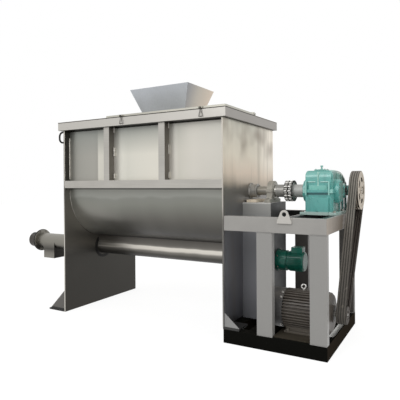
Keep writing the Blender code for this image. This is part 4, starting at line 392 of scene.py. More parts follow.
def drive_plate_steel():
    """The drive end plate: streaked above, with a painted warm reflection there, and painted shade below the
    shaft.
    """
    finish = sheet_steel("Drive end plate steel", (190, 182, 166), GRAIN_Z, marks=0.0, dust=0.1)
    # Painted reflection and shade: warm and light above the shaft, grey and dark below it.
    wave = finish.waved(3.1, 3.0, (0.1, 1.0, 0.1), 0.22)
    bands = finish.steps(wave, [
        (0.35, (138, 138, 144)), (1.20, (134, 134, 138)), (1.55, (130, 129, 127)), (1.68, (138, 135, 129)),
        (1.74, (178, 166, 150)), (1.85, (206, 190, 172)), (2.05, (210, 202, 185)), (2.40, (190, 187, 174))])
    finish.lay(bands)
    # Painted light on the upper part towards the rear.
    finish.lay((242, 234, 221), finish.past(ALONG_Y, 0.1, 0.6), finish.past(ALONG_Z, 1.65, 1.9, 0.0, 0.9))
    finish.lay((138, 128, 112), finish.effect(RUN_MARKS, Scale=7.0, Least=0.46, Most=0.7)["Mask"], 0.42)
    cloud = finish.ranged(finish.noise(2.6, 1.5), 0.48, 0.76, 0.0, 0.85)
    finish.lay((134, 122, 108), cloud, finish.past(ALONG_Z, 1.85, 2.05))
    # Painted highlight and shade on the front cut edge, lighter higher up.
    edge = finish.bands(ALONG_Z, [
        (0.1, (130, 128, 124)), (0.5, (104, 102, 98)), (1.25, (108, 106, 101)), (1.40, (176, 172, 164)),
        (1.9, (190, 185, 176))])
    finish.lay(edge, finish.towards(FRONT))
    return finish.done()


def far_plate_steel():
    """The far end plate, with painted shade near the floor and a painted highlight on its cut edge low down.
    """
    finish = sheet_steel("Far end plate steel", (120, 118, 111), GRAIN_Z, marks=0.1, dust=0.1)
    # Painted shade: darker towards the floor.
    finish.lay(finish.bands(ALONG_Z, [
        (0.0, (56, 54, 50)), (0.72, (62, 60, 56)), (0.86, (98, 95, 89)), (1.05, (118, 115, 108)),
        (1.4, (128, 125, 118)), (1.7, (130, 128, 121)), (2.4, (132, 130, 122))]))
    # Painted shadow on the plate's inner face beside the front wall.
    finish.lay((70, 68, 64), finish.within((-2.325, -0.73, 1.60), (-2.30, -0.6, 2.35)))
    # Painted highlight and shade on the front cut edge: bright low down and at the top, darker between.
    edge = finish.bands(ALONG_Z, [
        (0.0, (206, 202, 194)), (1.0, (196, 192, 185)), (1.5, (110, 107, 101)), (2.2, (128, 126, 120)),
        (2.3, (180, 177, 170))])
    finish.lay(edge, finish.towards(FRONT))
    return finish.done()


def hopper_steel():
    """The hopper's bluish plate, with a painted warm reflection on the side that looks at the drive."""
    finish = sheet_steel("Hopper steel", (186, 190, 196), GRAIN_Z, (0.3, 0.45), marks=0.05, dust=0.05)
    # Painted reflection: warmer towards the rear on the faces that look along +X.
    warm = finish.bands(ALONG_Y, [
        (0.0, (148, 150, 155)), (0.30, (188, 182, 172)), (0.70, (214, 199, 182))])
    finish.lay(warm, finish.towards(ALONG_X, 0.3, 0.7))
    return finish.done()


def pedestal_paint():
    """Grey paint, lighter above the stand, with painted shade inside the stand and on the side that looks
    along +X, and a painted highlight on its top edge.
    """
    finish = painted("Pedestal grey paint", (140, 140, 138))
    # Painted shade: darker and bluer low down inside the stand.
    finish.lay(finish.bands(ALONG_Z, [
        (0.14, (120, 121, 126)), (1.05, (124, 125, 129)), (1.18, (130, 131, 133)), (1.32, (152, 152, 150)),
        (1.42, (166, 166, 163))]), 0.95)
    # Painted highlight along the top edge.
    finish.lay((204, 204, 201), finish.within((-0.1, -0.3, 1.406), (0.3, 0.3, 1.420)))
    # Painted shade on the side that looks along +X.
    painted_shade_side = finish.towards(ALONG_X, 0.5, 0.8)
    finish.lay(finish.bands(ALONG_Z, [(0.14, (40, 41, 43)), (1.20, (46, 47, 49)), (1.34, (62, 61, 61))]),
               painted_shade_side)
    return finish.done()


def conveyor_steel():
    """The discharge trough: a painted highlight along its flank where the sheet turns under, and painted
    shade above and below it.
    """
    finish = sheet_steel("Conveyor steel", (120, 118, 112), GRAIN_X, marks=0.2, dust=0.1)
    # Painted highlight and shade: a bright band along the flank, darker above and below.
    wave = finish.waved(2.2, 2.0, (1.0, 0.1, 0.1), 0.03)
    finish.lay(finish.steps(wave, [
        (0.690, (54, 52, 50)), (0.740, (80, 78, 74)), (0.780, (130, 127, 121)), (0.800, (214, 209, 200)),
        (0.834, (224, 219, 210)), (0.848, (126, 123, 117)), (0.87, (104, 101, 96)), (0.94, (84, 81, 77))]))
    # The painted highlight made dimmer towards the far end.
    finish.lay((126, 123, 117), finish.within((-3, -1, 0.785), (0, 1, 0.855)),
               finish.past(ALONG_X, -1.7, -2.25, 0.0, 0.8))
    return finish.done()


def housing_steel():
    """The discharge screw's end housing, dark, with a nearly black patch on top."""
    finish = sheet_steel("Housing steel", (74, 71, 67), GRAIN_Z, (0.35, 0.5), marks=0.25, dust=0.1)
    finish.lay((12, 11, 10), finish.within((-3.8, -0.2, 0.862), (-3.595, 0.2, 0.96)))
    return finish.done()


def tube_steel():
    """The outlet tube and its chute, with painted shade underneath and on the side away from the light."""
    finish = sheet_steel("Tube steel", (118, 115, 109), GRAIN_X, (0.3, 0.45), marks=0.25, dust=0.3)
    # Painted shade: darkest on the underside.
    finish.lay(finish.bands(ALONG_Z, [
        (0.52, (138, 135, 128)), (0.60, (120, 117, 110)), (0.66, (72, 70, 66)), (0.76, (130, 127, 119)),
        (0.86, (146, 143, 135))]))
    finish.lay((52, 50, 47), finish.towards(ALONG_X), finish.within((-3.5, -0.2, 0.5), (-2.4, 0.2, 0.76)))
    return finish.done()


def curve_weld():
    """The weld of the rolled bottom, with painted light above and painted shade underneath."""
    finish = sheet_steel("Curve weld", (150, 148, 142), GRAIN_Z, (0.35, 0.5), marks=0.2, dust=0.1)
    finish.lay(finish.bands(ALONG_Z, [
        (0.95, (52, 50, 47)), (1.05, (84, 82, 77)), (1.20, (140, 137, 130)), (1.45, (196, 193, 185))]))
    return finish.done()


def gusset_paint():
    """Grey paint on the gussets, with painted shade on the far one, the feet under them nearly black and the
    drive end's foot dark low down.
    """
    finish = painted("Gusset grey paint", (146, 146, 146))
    # Painted shade on the far end's gusset.
    finish.lay((94, 92, 89), finish.within((-3, -1, 0), (-2, 1, 1)))
    finish.lay((8, 8, 7), finish.past(ALONG_Z, 0.044, 0.040))
    finish.lay((44, 43, 42), finish.past(ALONG_X, -0.50, -0.40), finish.past(ALONG_Z, 0.166, 0.162))
    return finish.done()


def frame_steel():
    """The rim, ribs and rails: light in front, and dark in the shade of their sides and undersides."""
    finish = sheet_steel("Frame steel", (177, 174, 168), GRAIN_X, marks=0.06)
    finish.lay((104, 100, 94), finish.towards(ALONG_X), finish.within((-2.3, -1, 1.5), (-0.1, 1, 2.4)))
    finish.lay((34, 32, 30), finish.towards((0, 0, -1)))
    finish.lay((154, 150, 145), finish.towards(ALONG_X), finish.within((-0.1, -1, 2.3), (0.1, 1, 2.5)))
    finish.lay((190, 187, 181), finish.towards(FRONT), finish.within((-3, -1, 2.31), (0.1, 0, 2.5)))
    return finish.done()


def cover_steel():
    """The covers, with the dark sealing line along their cut edges."""
    finish = sheet_steel("Cover steel", (184, 182, 172), GRAIN_X, marks=0.05, dust=0.4)
    seam = finish.within((-3, -1, 2.40), (0.1, 1, 2.4195))
    finish.lay((60, 52, 45), finish.towards(FRONT), seam)
    finish.lay((96, 86, 76), finish.towards(ALONG_X), seam)
    return finish.done()


def stand_paint():
    """The stand's grey paint, with a brown-stained end beam in painted shade, near-black painted shade for
    the dark bay in front of the reducer, and a lighter lug.
    """
    finish = painted("Stand grey paint", (156, 154, 151))
    # Brown stain and painted shade on the end beam's +X face, darker towards the rear.
    end = finish.times(finish.towards(ALONG_X), finish.past(ALONG_Z, 1.13, 1.15))
    brown = finish.bands(ALONG_Y, [
        (-0.72, (150, 139, 127)), (-0.40, (122, 112, 101)), (0.2, (98, 91, 84)), (0.6, (84, 79, 74))])
    finish.lay(brown, end)
    # Painted shade: near-black patches stand for the dark inside of the top frame round the reducer.
    finish.lay((8, 8, 8), finish.within((0.60, -0.65, 1.285), (0.975, -0.20, 1.31)))
    finish.lay((12, 12, 12), finish.within((0.05, -0.66, 1.155), (0.975, 0.52, 1.2985)))
    finish.lay((147, 146, 144), finish.past(ALONG_Z, 1.158, 1.148))
    finish.lay((190, 187, 182), finish.within((0.52, -0.74, 1.24), (0.69, -0.7141, 1.45)))
    return finish.done()


def base_paint():
    """Black paint, with the motor's plate browner and painted light on the end slot's walls for the daylight
    seen through it.
    """
    finish = painted("Base black paint", (20, 20, 18), (0.6, 0.75), 0.72, (30, 28, 26), 0.03, gloss=0.0)
    finish.lay((45, 40, 34), finish.towards(ALONG_X, 0.2, 0.5))
    finish.lay((66, 61, 53), finish.within((0.45, -0.72, 0.1400), (0.86, 0.2, 0.160)))
    # Painted light: the end slot's walls near white, standing for daylight through the slot.
    finish.lay((240, 240, 238), finish.within((0.9345, -0.4205, -0.1), (0.9895, 0.0305, 0.1345)))
    return finish.done()


def motor_paint():
    """The motor's worn brown-grey paint, a little lighter low down."""
    finish = painted("Motor paint", (84, 78, 72), (0.36, 0.55), 0.64, (40, 38, 35), 0.3)
    finish.lay((92, 86, 78), finish.within((0.5, -0.6, 0.0), (0.95, 0.0, 0.2150)))
    return finish.done()


def gearmotor_green():
    """The discharge drive's dark green, with painted shade on the end that looks along +X."""
    finish = painted("Gearmotor green", (8, 96, 80), (0.25, 0.4), 0.7, (14, 50, 42), 0.1, 0.2, 0.3)
    # Painted shade on the faces that look along +X.
    finish.lay((6, 62, 52), finish.towards(ALONG_X))
    return finish.done()


FINISHES = {
    "pedestal": pedestal_paint(),
    "conveyor": conveyor_steel(),
    "curve_weld": curve_weld(),
    "gusset": gusset_paint(),
    "hub_steel": sheet_steel("Hub steel", (178, 178, 175), GRAIN_Y, (0.5, 0.6), 0.3, 0.15, 0.2).done(),
    # A darker steel for the agitator's hub.
    "darker_hub_steel": sheet_steel("Darker hub steel", (152, 151, 147), GRAIN_Y, (0.35, 0.5), 0.4, 0.3,
                                  0.2).done(),
    "trough": trough_plate(),
    "drive_plate": drive_plate_steel(),
    "far_plate": far_plate_steel(),
    "hopper": hopper_steel(),
    "frame_steel": frame_steel(),
    "cover_steel": cover_steel(),
    "agitator_steel": sheet_steel("Agitator steel", (158, 156, 149), GRAIN_Y, (0.3, 0.5), marks=0.2).done(),
    "tube_steel": tube_steel(),
    "housing_steel": housing_steel(),
    "bright_steel": sheet_steel("Bright steel", (196, 194, 188), GRAIN_Y, (0.18, 0.3), 0.9, 0.05, 0.1).done(),
    "dark_steel": sheet_steel("Oiled steel", (66, 63, 59), GRAIN_Y, (0.3, 0.5), 0.7, 0.2, 0.2).done(),
    "bolt_steel": sheet_steel("Bolt steel", (150, 146, 138), GRAIN_Z, (0.3, 0.45), 0.85, 0.2, 0.3).done(),
    "chain_steel": sheet_steel("Chain steel", (72, 69, 66), GRAIN_Z, (0.4, 0.55), 0.6, 0.2, 0.2).done(),
    "roller_steel": sheet_steel("Roller steel", (214, 212, 208), GRAIN_Z, (0.25, 0.4), 0.8, 0.1, 0.1).done(),
    "weld_steel": sheet_steel("Weld steel", (214, 210, 202), GRAIN_Z, (0.35, 0.5), 0.8, 0.3, 0.1).done(),
    "stand_paint": stand_paint(),
    # Painted shade: a darker copy of the stand's grey, for the rear posts.
    "shade_paint": painted("Stand grey paint, rear", (82, 79, 76)).done(),
    "base_paint": base_paint(),
    "motor_paint": motor_paint(),
    "cowl_paint": painted("Cowl paint", (82, 81, 81), (0.36, 0.55), 0.64, (96, 84, 76), 0.5).done(),
    "black_paint": painted("Black paint", (24, 23, 22), (0.4, 0.6), 0.7, (50, 47, 43), 0.1, gloss=0.2).done(),
    "box_green": gearmotor_green(),
    "packing": painted("Packing board", (244, 230, 208), (0.6, 0.8), 0.6, (140, 120, 96), 0.2).done(),
}


def cast_iron(name, colour, dark, roughness=(0.45, 0.65), metallic=0.3, dust=0.3):
    """Sand-cast iron with dark runs and dust."""
    finish = Finish(name, colour, 0.5, metallic)
    skin = finish.effect(CAST_SKIN)
    finish.shade(skin["Lumps"], 0.88, 1.08)
    finish.lay(dark, finish.effect(RUN_MARKS, Scale=16.0)["Mask"], 0.4)
    finish.dusty((160, 150, 135), dust)
    finish.rough(skin["Lumps"], *roughness)
    finish.relief(skin["Height"], 0.0012, 0.4)
    return finish


ENAMEL_GLOSS = {"Coat Weight": 0.4, "Coat Roughness": 0.16}


def teal_enamel():
    """Gloss enamel over a casting, with painted light higher up and on faces that look up, painted highlights
    and shade on the front, and a painted side that greys towards the rear.
    """
    finish = Finish("Reducer teal enamel", (92, 172, 166), 0.25, **ENAMEL_GLOSS)
    skin = finish.effect(CAST_SKIN, Scale=90.0)
    finish.shade(skin["Lumps"], 0.9, 1.08)
    # Painted light: lighter higher up.
    up = finish.past(ALONG_Z, 1.60, 1.78)
    finish.lay((150, 194, 184), up, 0.5)
    finish.lay((46, 104, 100), finish.effect(RUN_MARKS, Scale=14.0)["Mask"], 0.3)
    finish.dusty((150, 190, 178), 0.35)
    finish.lay((178, 198, 192), finish.past(ALONG_Z, 1.340, 1.328, 0.0, 0.85))
    # Painted highlights on the front flange, its top edge, the corner ribs and the middle rib.
    finish.lay((122, 192, 182), finish.within((0.694, -0.3, 1.5600), (0.880, -0.205, 1.6050)))
    finish.lay((186, 222, 216), finish.within((0.60, -0.3, 1.6370), (0.95, -0.203, 1.6480)))
    finish.lay((150, 206, 198), finish.within((0.60, -0.3, 1.5030), (0.676, -0.209, 1.6480)))
    finish.lay((150, 206, 198), finish.within((0.897, -0.3, 1.5030), (0.95, -0.209, 1.6480)))
    finish.lay((156, 202, 192), finish.within((0.779, -0.215, 1.60), (0.795, -0.10, 1.758)))
    # Painted shade: a dark band under the front flange.
    finish.lay((52, 122, 124), finish.within((0.677, -0.2425, 1.505), (0.896, -0.2, 1.535)))
    # Painted highlight on the faces that look up at the rear of the top.
    finish.lay((172, 190, 182), finish.towards(ALONG_Z), finish.within((0.6, 0.12, 1.6), (1.0, 0.6, 1.8)))
    # Painted shade and reflection on the side that looks along +X: teal at the front, grey-brown towards the
    # rear.
    rear = finish.bands(ALONG_Y, [
        (-0.24, (104, 156, 149)), (0.0, (112, 140, 132)), (0.30, (122, 124, 114)), (0.56, (114, 106, 97))])
    finish.lay(rear, finish.towards(ALONG_X), finish.past(ALONG_Y, -0.24, 0.05, 0.3, 0.85))
    finish.rough(skin["Lumps"], 0.24, 0.4)
    finish.relief(skin["Height"], 0.001, 0.14)
    return finish.done()


def rib_teal():
    """The cover's cast ribs: painted highlights on their crests, browner towards the belts, and painted shade
    on their front faces.
    """
    finish = Finish("Rib teal enamel", (110, 180, 172), 0.3, **ENAMEL_GLOSS)
    # Painted highlight on the crests, browner towards the belts.
    crest = finish.bands(ALONG_Y, [(0.0, (214, 232, 222)), (0.20, (214, 224, 208)), (0.50, (170, 164, 146))])
    finish.lay(crest, finish.past(ALONG_Y, -0.02, 0.02), finish.towards(ALONG_Z, -0.1, 0.35))
    # Painted shade on the front faces, deeper towards the rear.
    finish.lay((74, 82, 76), finish.towards(FRONT), finish.past(ALONG_Y, 0.0, 0.3, 0.1, 0.7))
    return finish.done()


def belt_rubber():
    """Rubber with a painted highlight along the middle of each strand and painted shade at its edges, darker
    on the rear run and low down.
    """
    finish = Finish("Belt rubber", (106, 101, 95), 0.7)
    strand = result_of(finish.tree, "SUBTRACT", finish.along(ALONG_X), BELT_START)
    across = finish.add("ShaderNodeMath", {0: strand, 1: BELT_PITCH, 2: 0.0}, operation="WRAP").outputs[0]
    # Painted highlight along each strand's middle and painted shade at its edges and in the gaps.
    finish.lay(finish.steps(across, [
        (0.0, (30, 28, 26)), (0.0022, (66, 62, 57)), (0.0060, (120, 115, 107)), (0.0100, (140, 133, 125)),
        (0.0160, (104, 99, 92)), (0.0215, (68, 64, 60)), (BELT_PITCH, (30, 28, 26))]))
    away = finish.add("ShaderNodeVectorMath", {0: finish.place, 1: (0, 1.0, -0.637)}, operation="DOT_PRODUCT")
    finish.lay((56, 44, 38), finish.ranged(away.outputs["Value"], -0.57, -0.55, 0.0, 0.75))
    finish.shade(finish.noise(60.0, 3.0), 0.86, 1.1)
    finish.lay((48, 45, 41), finish.past(ALONG_Z, 1.5, 0.5, 0.0, 0.55))
    finish.lay((150, 142, 130), finish.effect(WORN_SPOTS, Scale=18.0, Least=0.6)["Mask"], 0.3)
    finish.relief(finish.noise(400.0, 2.0), 0.0004, 0.5)
    return finish.done()


def pulley_iron(name, colour, roughness=(0.35, 0.5), metallic=0.5):
    """Machined iron, lighter on the turned rim and face than on the grooves' lands and the cast web."""
    finish = cast_iron(name, colour, [tone * 0.67 for tone in colour], roughness, metallic)
    finish.lay((140, 128, 110), finish.within((1.0, 0.225, 1.3), (1.0800, 0.575, 1.8)))
    finish.lay((62, 58, 53), finish.within((1.0, -1, 0), (1.1080, 1, 2)), finish.towards(ALONG_X, 0.5, 0.2))
    return finish.done()


FINISHES.update({
    "casting": cast_iron("Primed casting", (166, 163, 154), (96, 92, 82)).done(),
    "seal_casting": cast_iron("Seal casting", (168, 167, 163), (80, 78, 74), metallic=0.5).done(),
    "pulley": pulley_iron("Pulley iron", (178, 166, 149)),
    "motor_pulley": pulley_iron("Motor pulley iron", (46, 36, 27), (0.55, 0.7), 0.2),
    "teal": teal_enamel(),
    "rib_teal": rib_teal(),
    "belt": belt_rubber(),
    "gasket": painted("Gasket rubber", (44, 43, 41), (0.7, 0.85), 0.7, (28, 27, 26), 0.1).done(),
})


# Meshes

def link(name, mesh):
    """An object in the scene with this data."""
    made = bpy.data.objects.new(name, mesh)
    bpy.context.scene.collection.objects.link(made)
    return made


def worked(made):
    """The object's mesh as its modifiers leave it, with the modifiers taken off."""
    bpy.context.view_layer.update()
    graph = bpy.context.evaluated_depsgraph_get()
    mesh = bpy.data.meshes.new_from_object(made.evaluated_get(graph))
    made.modifiers.clear()
    made.data = mesh
    return made


def eased(made, width, segments=2):
    """Rounds the sharp edges as a grinder or a folding press leaves them, and shades the rest smooth."""
    made.data.shade_smooth()
    bevel = made.modifiers.new("Eased edges", "BEVEL")
    bevel.width = width
    bevel.segments = segments
    bevel.limit_method = "ANGLE"
    bevel.angle_limit = math.radians(38)
    shading = made.modifiers.new("Flat faces", "WEIGHTED_NORMAL")
    shading.weight = 100
    return worked(made)


def placed(made, finish, body):
    """Gives a finished piece its material and the body that carries it."""
    made.data.materials.clear()
    made.data.materials.append(FINISHES[finish])
    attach(made, body)
    return made


SLOTS = {item["node"]: item["material_slot"] for item in frame["record"]["subparts"]}
BODIES = {node: body for body, group in frame["record"]["behaviour"]["bodies"].items() for node in group}


def finished_form(node, finish, width=0.002, segments=2, flat=0.6):
    """Stands for a solid with its own shape, merged, with eased edges and smooth round faces."""
    form = bmesh.new()
    form.from_mesh(solids[node].data)
    bmesh.ops.remove_doubles(form, verts=form.verts, dist=0.00002)
    if flat:
        bmesh.ops.dissolve_limit(form, angle_limit=math.radians(flat), verts=form.verts, edges=form.edges)
    mesh = bpy.data.meshes.new(node + "_form")
    form.to_mesh(mesh)
    made = eased(link(node + "_form", mesh), width, segments)
    placed(made, finish, BODIES[node])
    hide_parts(node)
    return made


def dress(finish, *names):
    """Gives solids a finish and leaves their shape as it is."""
    for name in names:
        solids[name].data.materials.clear()
        solids[name].data.materials.append(FINISHES[finish])


class Maker:
    """Collects simple shapes in one mesh."""

    def __init__(self):
        self.form = bmesh.new()

    def block(self, x, y, z):
        """A box between (low, high) pairs."""
        corner = Vector((x[0], y[0], z[0]))
        size = Vector((x[1], y[1], z[1])) - corner
        place = Matrix.Translation(corner + size / 2) @ Matrix.Diagonal((*size, 1))
        bmesh.ops.create_cube(self.form, size=1, matrix=place)
        return self

    def lathe(self, profile, y, z, sides=64, close=False):
        """Turns (x, radius) points about the line along X at (y, z)."""
        rings = []
        for x, radius in profile:
            if radius < 1e-6:
                rings.append([self.form.verts.new((x, y, z))] * sides)
                continue
            around = [round_point(radius, TURN * i / sides) for i in range(sides)]
            rings.append([self.form.verts.new((x, y + across, z + up)) for across, up in around])
        pairs = list(zip(rings, rings[1:])) + ([(rings[-1], rings[0])] if close else [])
        for first, second in pairs:
            for i in range(sides):
                j = (i + 1) % sides
                corners = []
                for corner in (first[i], first[j], second[j], second[i]):
                    if corner not in corners:
                        corners.append(corner)
                self.form.faces.new(corners)
        return self

    def slab(self, outline, x):
        """A flat shape given as (y, z) points, with its thickness along X."""
        return self.prism([[(level, *point) for point in outline] for level in x])

    def prism(self, outlines):
        """Two outlines with as many points each, capped, with a wall between them."""
        ends = [[self.form.verts.new(point) for point in outline] for outline in outlines]
        self.form.faces.new(ends[0])
        self.form.faces.new(ends[1])
        for i in range(len(ends[0])):
            j = (i + 1) % len(ends[0])
            self.form.faces.new((ends[0][i], ends[0][j], ends[1][j], ends[1][i]))
        return self

    def loop(self, path, first, section):
        """A section of (outward, x) points carried round a closed path that belt_path gives."""
        rings = [[self.form.verts.new((first + x, y + out * out_y, z + out * out_z)) for out, x in section]
                 for y, z, out_y, out_z in path]
        for ring, after in zip(rings, rings[1:] + rings[:1]):
            for corner in range(len(section)):
                follow = (corner + 1) % len(section)
                self.form.faces.new((ring[corner], ring[follow], after[follow], after[corner]))
        return self

    def rod(self, start, end, radius, sides=16):
        """A round or many-sided bar between two points."""
        start, end = Vector(start), Vector(end)
        along = end - start
        place = Matrix.Translation((start + end) / 2) @ along.to_track_quat("Z", "Y").to_matrix().to_4x4()
        bmesh.ops.create_cone(self.form, cap_ends=True, segments=sides, radius1=radius, radius2=radius,
                              depth=along.length, matrix=place)
        return self

    def ring(self, centre, axis, radius, thickness, sides=32, around=12):
        """A closed round ring, such as an eye."""
        turn = Vector(axis).to_track_quat("Z", "Y").to_matrix()
        rows = []
        for i in range(sides):
            out = Vector((*round_point(1, TURN * i / sides), 0))
            row = []
            for j in range(around):
                wider, up = round_point(thickness, TURN * j / around)
                point = out * (radius + wider) + Vector((0, 0, up))
                row.append(self.form.verts.new(Vector(centre) + turn @ point))
            rows.append(row)
        for i in range(sides):
            for j in range(around):
                k, m = (i + 1) % sides, (j + 1) % around
                self.form.faces.new((rows[i][j], rows[k][j], rows[k][m], rows[i][m]))
        return self

    def mesh(self, name):
        """The collected shapes as one mesh whose faces point outwards."""
        bmesh.ops.recalc_face_normals(self.form, faces=self.form.faces)
        mesh = bpy.data.meshes.new(name)
        self.form.to_mesh(mesh)
        return mesh

    def piece(self, name, finish, body, slot, width=0.001, replaces=()):
        """The collected shapes as a finished piece, in place of any solids that it names."""
        made = eased(link(name, self.mesh(name)), width)
        placed(made, finish, body)
        for node in replaces:
            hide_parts(node)
        return made


# Patterns

def bolt_heads():
    """A hexagon head on a washer at each point, turned to the point's axis."""
    tree, given, out = new_group("Bolt heads", "GeometryNodeTree",
                                 [("Points", SHAPE, None), ("Head radius", NUMBER, 0.01),
                                  ("Head height", NUMBER, 0.008), ("Finish", PAINT, None)],
                                 [("Bolts", SHAPE)])
    radius, height = given["Head radius"], given["Head height"]
    washer_radius = result_of(tree, "MULTIPLY", radius, 1.25)
    washer_height = result_of(tree, "MULTIPLY", height, 0.2)
    shank_radius = result_of(tree, "MULTIPLY", radius, 0.55)
    shank_height = result_of(tree, "MULTIPLY", height, 1.7)
    parts = []
    for sides, across, depth, tall, share in ((6, radius, height, height, 0.6),
                                              (14, washer_radius, washer_height, height, 0.1),
                                              (10, shank_radius, shank_height, shank_height, 0.5)):
        prism = add_node(tree, "GeometryNodeMeshCylinder",
                         {"Vertices": sides, "Radius": across, "Depth": depth})
        shift = add_node(tree, "ShaderNodeCombineXYZ", {2: result_of(tree, "MULTIPLY", tall, share)})
        parts.append(add_node(tree, "GeometryNodeTransform", {0: prism.outputs[0],
                                                              "Translation": shift.outputs[0]}).outputs[0])
    joined = add_node(tree, "GeometryNodeJoinGeometry")
    for part in reversed(parts):
        tree.links.new(part, joined.inputs[0])
    axis = add_node(tree, "GeometryNodeInputNamedAttribute", {"Name": "axis"}, data_type="FLOAT_VECTOR")
    turned = add_node(tree, "FunctionNodeAlignRotationToVector", {"Vector": axis.outputs[0]})
    spread = add_node(tree, "GeometryNodeInstanceOnPoints", {"Points": given["Points"],
                                                             "Instance": joined.outputs[0],
                                                             "Rotation": turned.outputs[0]})
    return close_pattern(tree, spread.outputs[0], given["Finish"], out)


def close_pattern(tree, shape, finish, out):
    """Ends a pattern: real copies, with the finish on them."""
    real = add_node(tree, "GeometryNodeRealizeInstances", {0: shape})
    dressed = add_node(tree, "GeometryNodeSetMaterial", {0: real.outputs[0], "Material": finish})
    tree.links.new(dressed.outputs[0], out.inputs[0])
    return tree


def weld_beads():
    """A row of small overlapping ripples along each edge, a little uneven."""
    tree, given, out = new_group("Weld beads", "GeometryNodeTree",
                                 [("Seams", SHAPE, None), ("Bead radius", NUMBER, 0.004),
                                  ("Spacing", NUMBER, 0.005), ("Finish", PAINT, None)],
                                 [("Welds", SHAPE)])
    curve = add_node(tree, "GeometryNodeMeshToCurve", {0: given["Seams"]})
    points = add_node(tree, "GeometryNodeCurveToPoints", {0: curve.outputs[0], "Length": given["Spacing"]},
                      mode="LENGTH")
    bead = add_node(tree, "GeometryNodeMeshUVSphere", {"Segments": 8, "Rings": 5,
                                                       "Radius": given["Bead radius"]})
    uneven = add_node(tree, "FunctionNodeRandomValue", {2: 0.8, 3: 1.12, "Seed": 7}, data_type="FLOAT")
    spread = add_node(tree, "GeometryNodeInstanceOnPoints", {"Points": points.outputs[0],
                                                             "Instance": bead.outputs[0],
                                                             "Rotation": points.outputs["Rotation"],
                                                             "Scale": uneven.outputs[1]})
    return close_pattern(tree, spread.outputs[0], given["Finish"], out)


def ring_of_copies():
    """Copies of one shape turned about a line along X."""
    tree, given, out = new_group("Ring of copies", "GeometryNodeTree",
                                 [("One copy", SHAPE, None), ("Count", "NodeSocketInt", 6),
                                  ("Centre", VECTOR, None), ("Finish", PAINT, None)],
                                 [("Ring", SHAPE)])
    away = add_node(tree, "ShaderNodeVectorMath", {0: given["Centre"], "Scale": -1.0}, operation="SCALE")
    centred = add_node(tree, "GeometryNodeTransform", {0: given["One copy"], "Translation": away.outputs[0]})
    line = add_node(tree, "GeometryNodeMeshLine", {"Count": given["Count"], "Start Location": given["Centre"],
                                                   "Offset": (0, 0, 0)})
    index = add_node(tree, "GeometryNodeInputIndex")
    share = result_of(tree, "DIVIDE", index.outputs[0], given["Count"])
    turned = add_node(tree, "ShaderNodeCombineXYZ", {0: result_of(tree, "MULTIPLY", share, TURN)})
    spread = add_node(tree, "GeometryNodeInstanceOnPoints", {"Points": line.outputs[0],
                                                             "Instance": centred.outputs[0],
                                                             "Rotation": turned.outputs[0]})
    return close_pattern(tree, spread.outputs[0], given["Finish"], out)


def row_of_copies():
    """Copies of one shape side by side at an even step."""
    tree, given, out = new_group("Row of copies", "GeometryNodeTree",
                                 [("One copy", SHAPE, None), ("Count", "NodeSocketInt", 4),
                                  ("Step", VECTOR, (0.02, 0.0, 0.0)), ("Finish", PAINT, None)],
                                 [("Row", SHAPE)])
    line = add_node(tree, "GeometryNodeMeshLine", {"Count": given["Count"], "Offset": given["Step"]})
    spread = add_node(tree, "GeometryNodeInstanceOnPoints", {"Points": line.outputs[0],
                                                             "Instance": given["One copy"]})
    return close_pattern(tree, spread.outputs[0], given["Finish"], out)


BOLT_HEADS = bolt_heads()
WELD_BEADS = weld_beads()
RING_OF_COPIES = ring_of_copies()
ROW_OF_COPIES = row_of_copies()


def patterned(name, mesh, tree, finish, body, slot, **values):
    """A mesh run through one of the patterns, as a plain piece."""
    made = link(name, mesh)
    modifier = made.modifiers.new("Pattern", "NODES")
    modifier.node_group = tree
    values["Finish"] = FINISHES[finish]
    for item in tree.interface.items_tree:
        key = item.name.replace(" ", "_")
        if item.in_out == "INPUT" and key in values:
            modifier[item.identifier] = values[key]
    worked(made)
    made.data.shade_smooth()
    made.data.set_sharp_from_angle(angle=math.radians(35))
    return placed(made, finish, body)


def bolts(name, body, size, spots, finish="bolt_steel", slot="bright_steel"):
    """Bolt heads of one thread size, in millimetres, at (place, axis) spots."""
    mesh = bpy.data.meshes.new(name)
    mesh.from_pydata([place for place, axis in spots], [], [])
    axes = mesh.attributes.new("axis", "FLOAT_VECTOR", "POINT")
    for item, (place, axis) in zip(axes.data, spots):
        item.vector = axis
    return patterned(name, mesh, BOLT_HEADS, finish, body, slot, Head_radius=size * 0.00092,
                     Head_height=size * 0.00064)


def welds(name, body, seams, radius=0.004, finish="weld_steel", slot="stainless"):
    """Weld beads along straight seams, given as pairs of ends."""
    mesh = bpy.data.meshes.new(name)
    points = [point for seam in seams for point in seam]
    mesh.from_pydata(points, [(i, i + 1) for i in range(0, len(points), 2)], [])
    return patterned(name, mesh, WELD_BEADS, finish, body, slot, Bead_radius=radius, Spacing=radius * 1.1)


def circle_spots(x, y, z, radius, count, axis, start=0.5):
    """Places for bolts round a flange that faces along X."""
    spots = []
    for i in range(count):
        across, up = round_point(radius, TURN * (i + start) / count)
        spots.append(((x, y + across, z + up), axis))
    return spots


def arc(centre, radius, first, last, count):
    """Points of an arc about a centre in a plane, from one angle to another in degrees."""
    points = []
    for step in range(count + 1):
        across, up = round_point(radius, math.radians(first + (last - first) * step / count))
        points.append((centre[0] + across, centre[1] + up))
    return points


def collar(start, end, inner, outer):
    """The outline of a plain ring along X, to turn on the lathe."""
    return [(start, inner), (start, outer), (end, outer), (end, inner)]


# Trough, end plates and covers

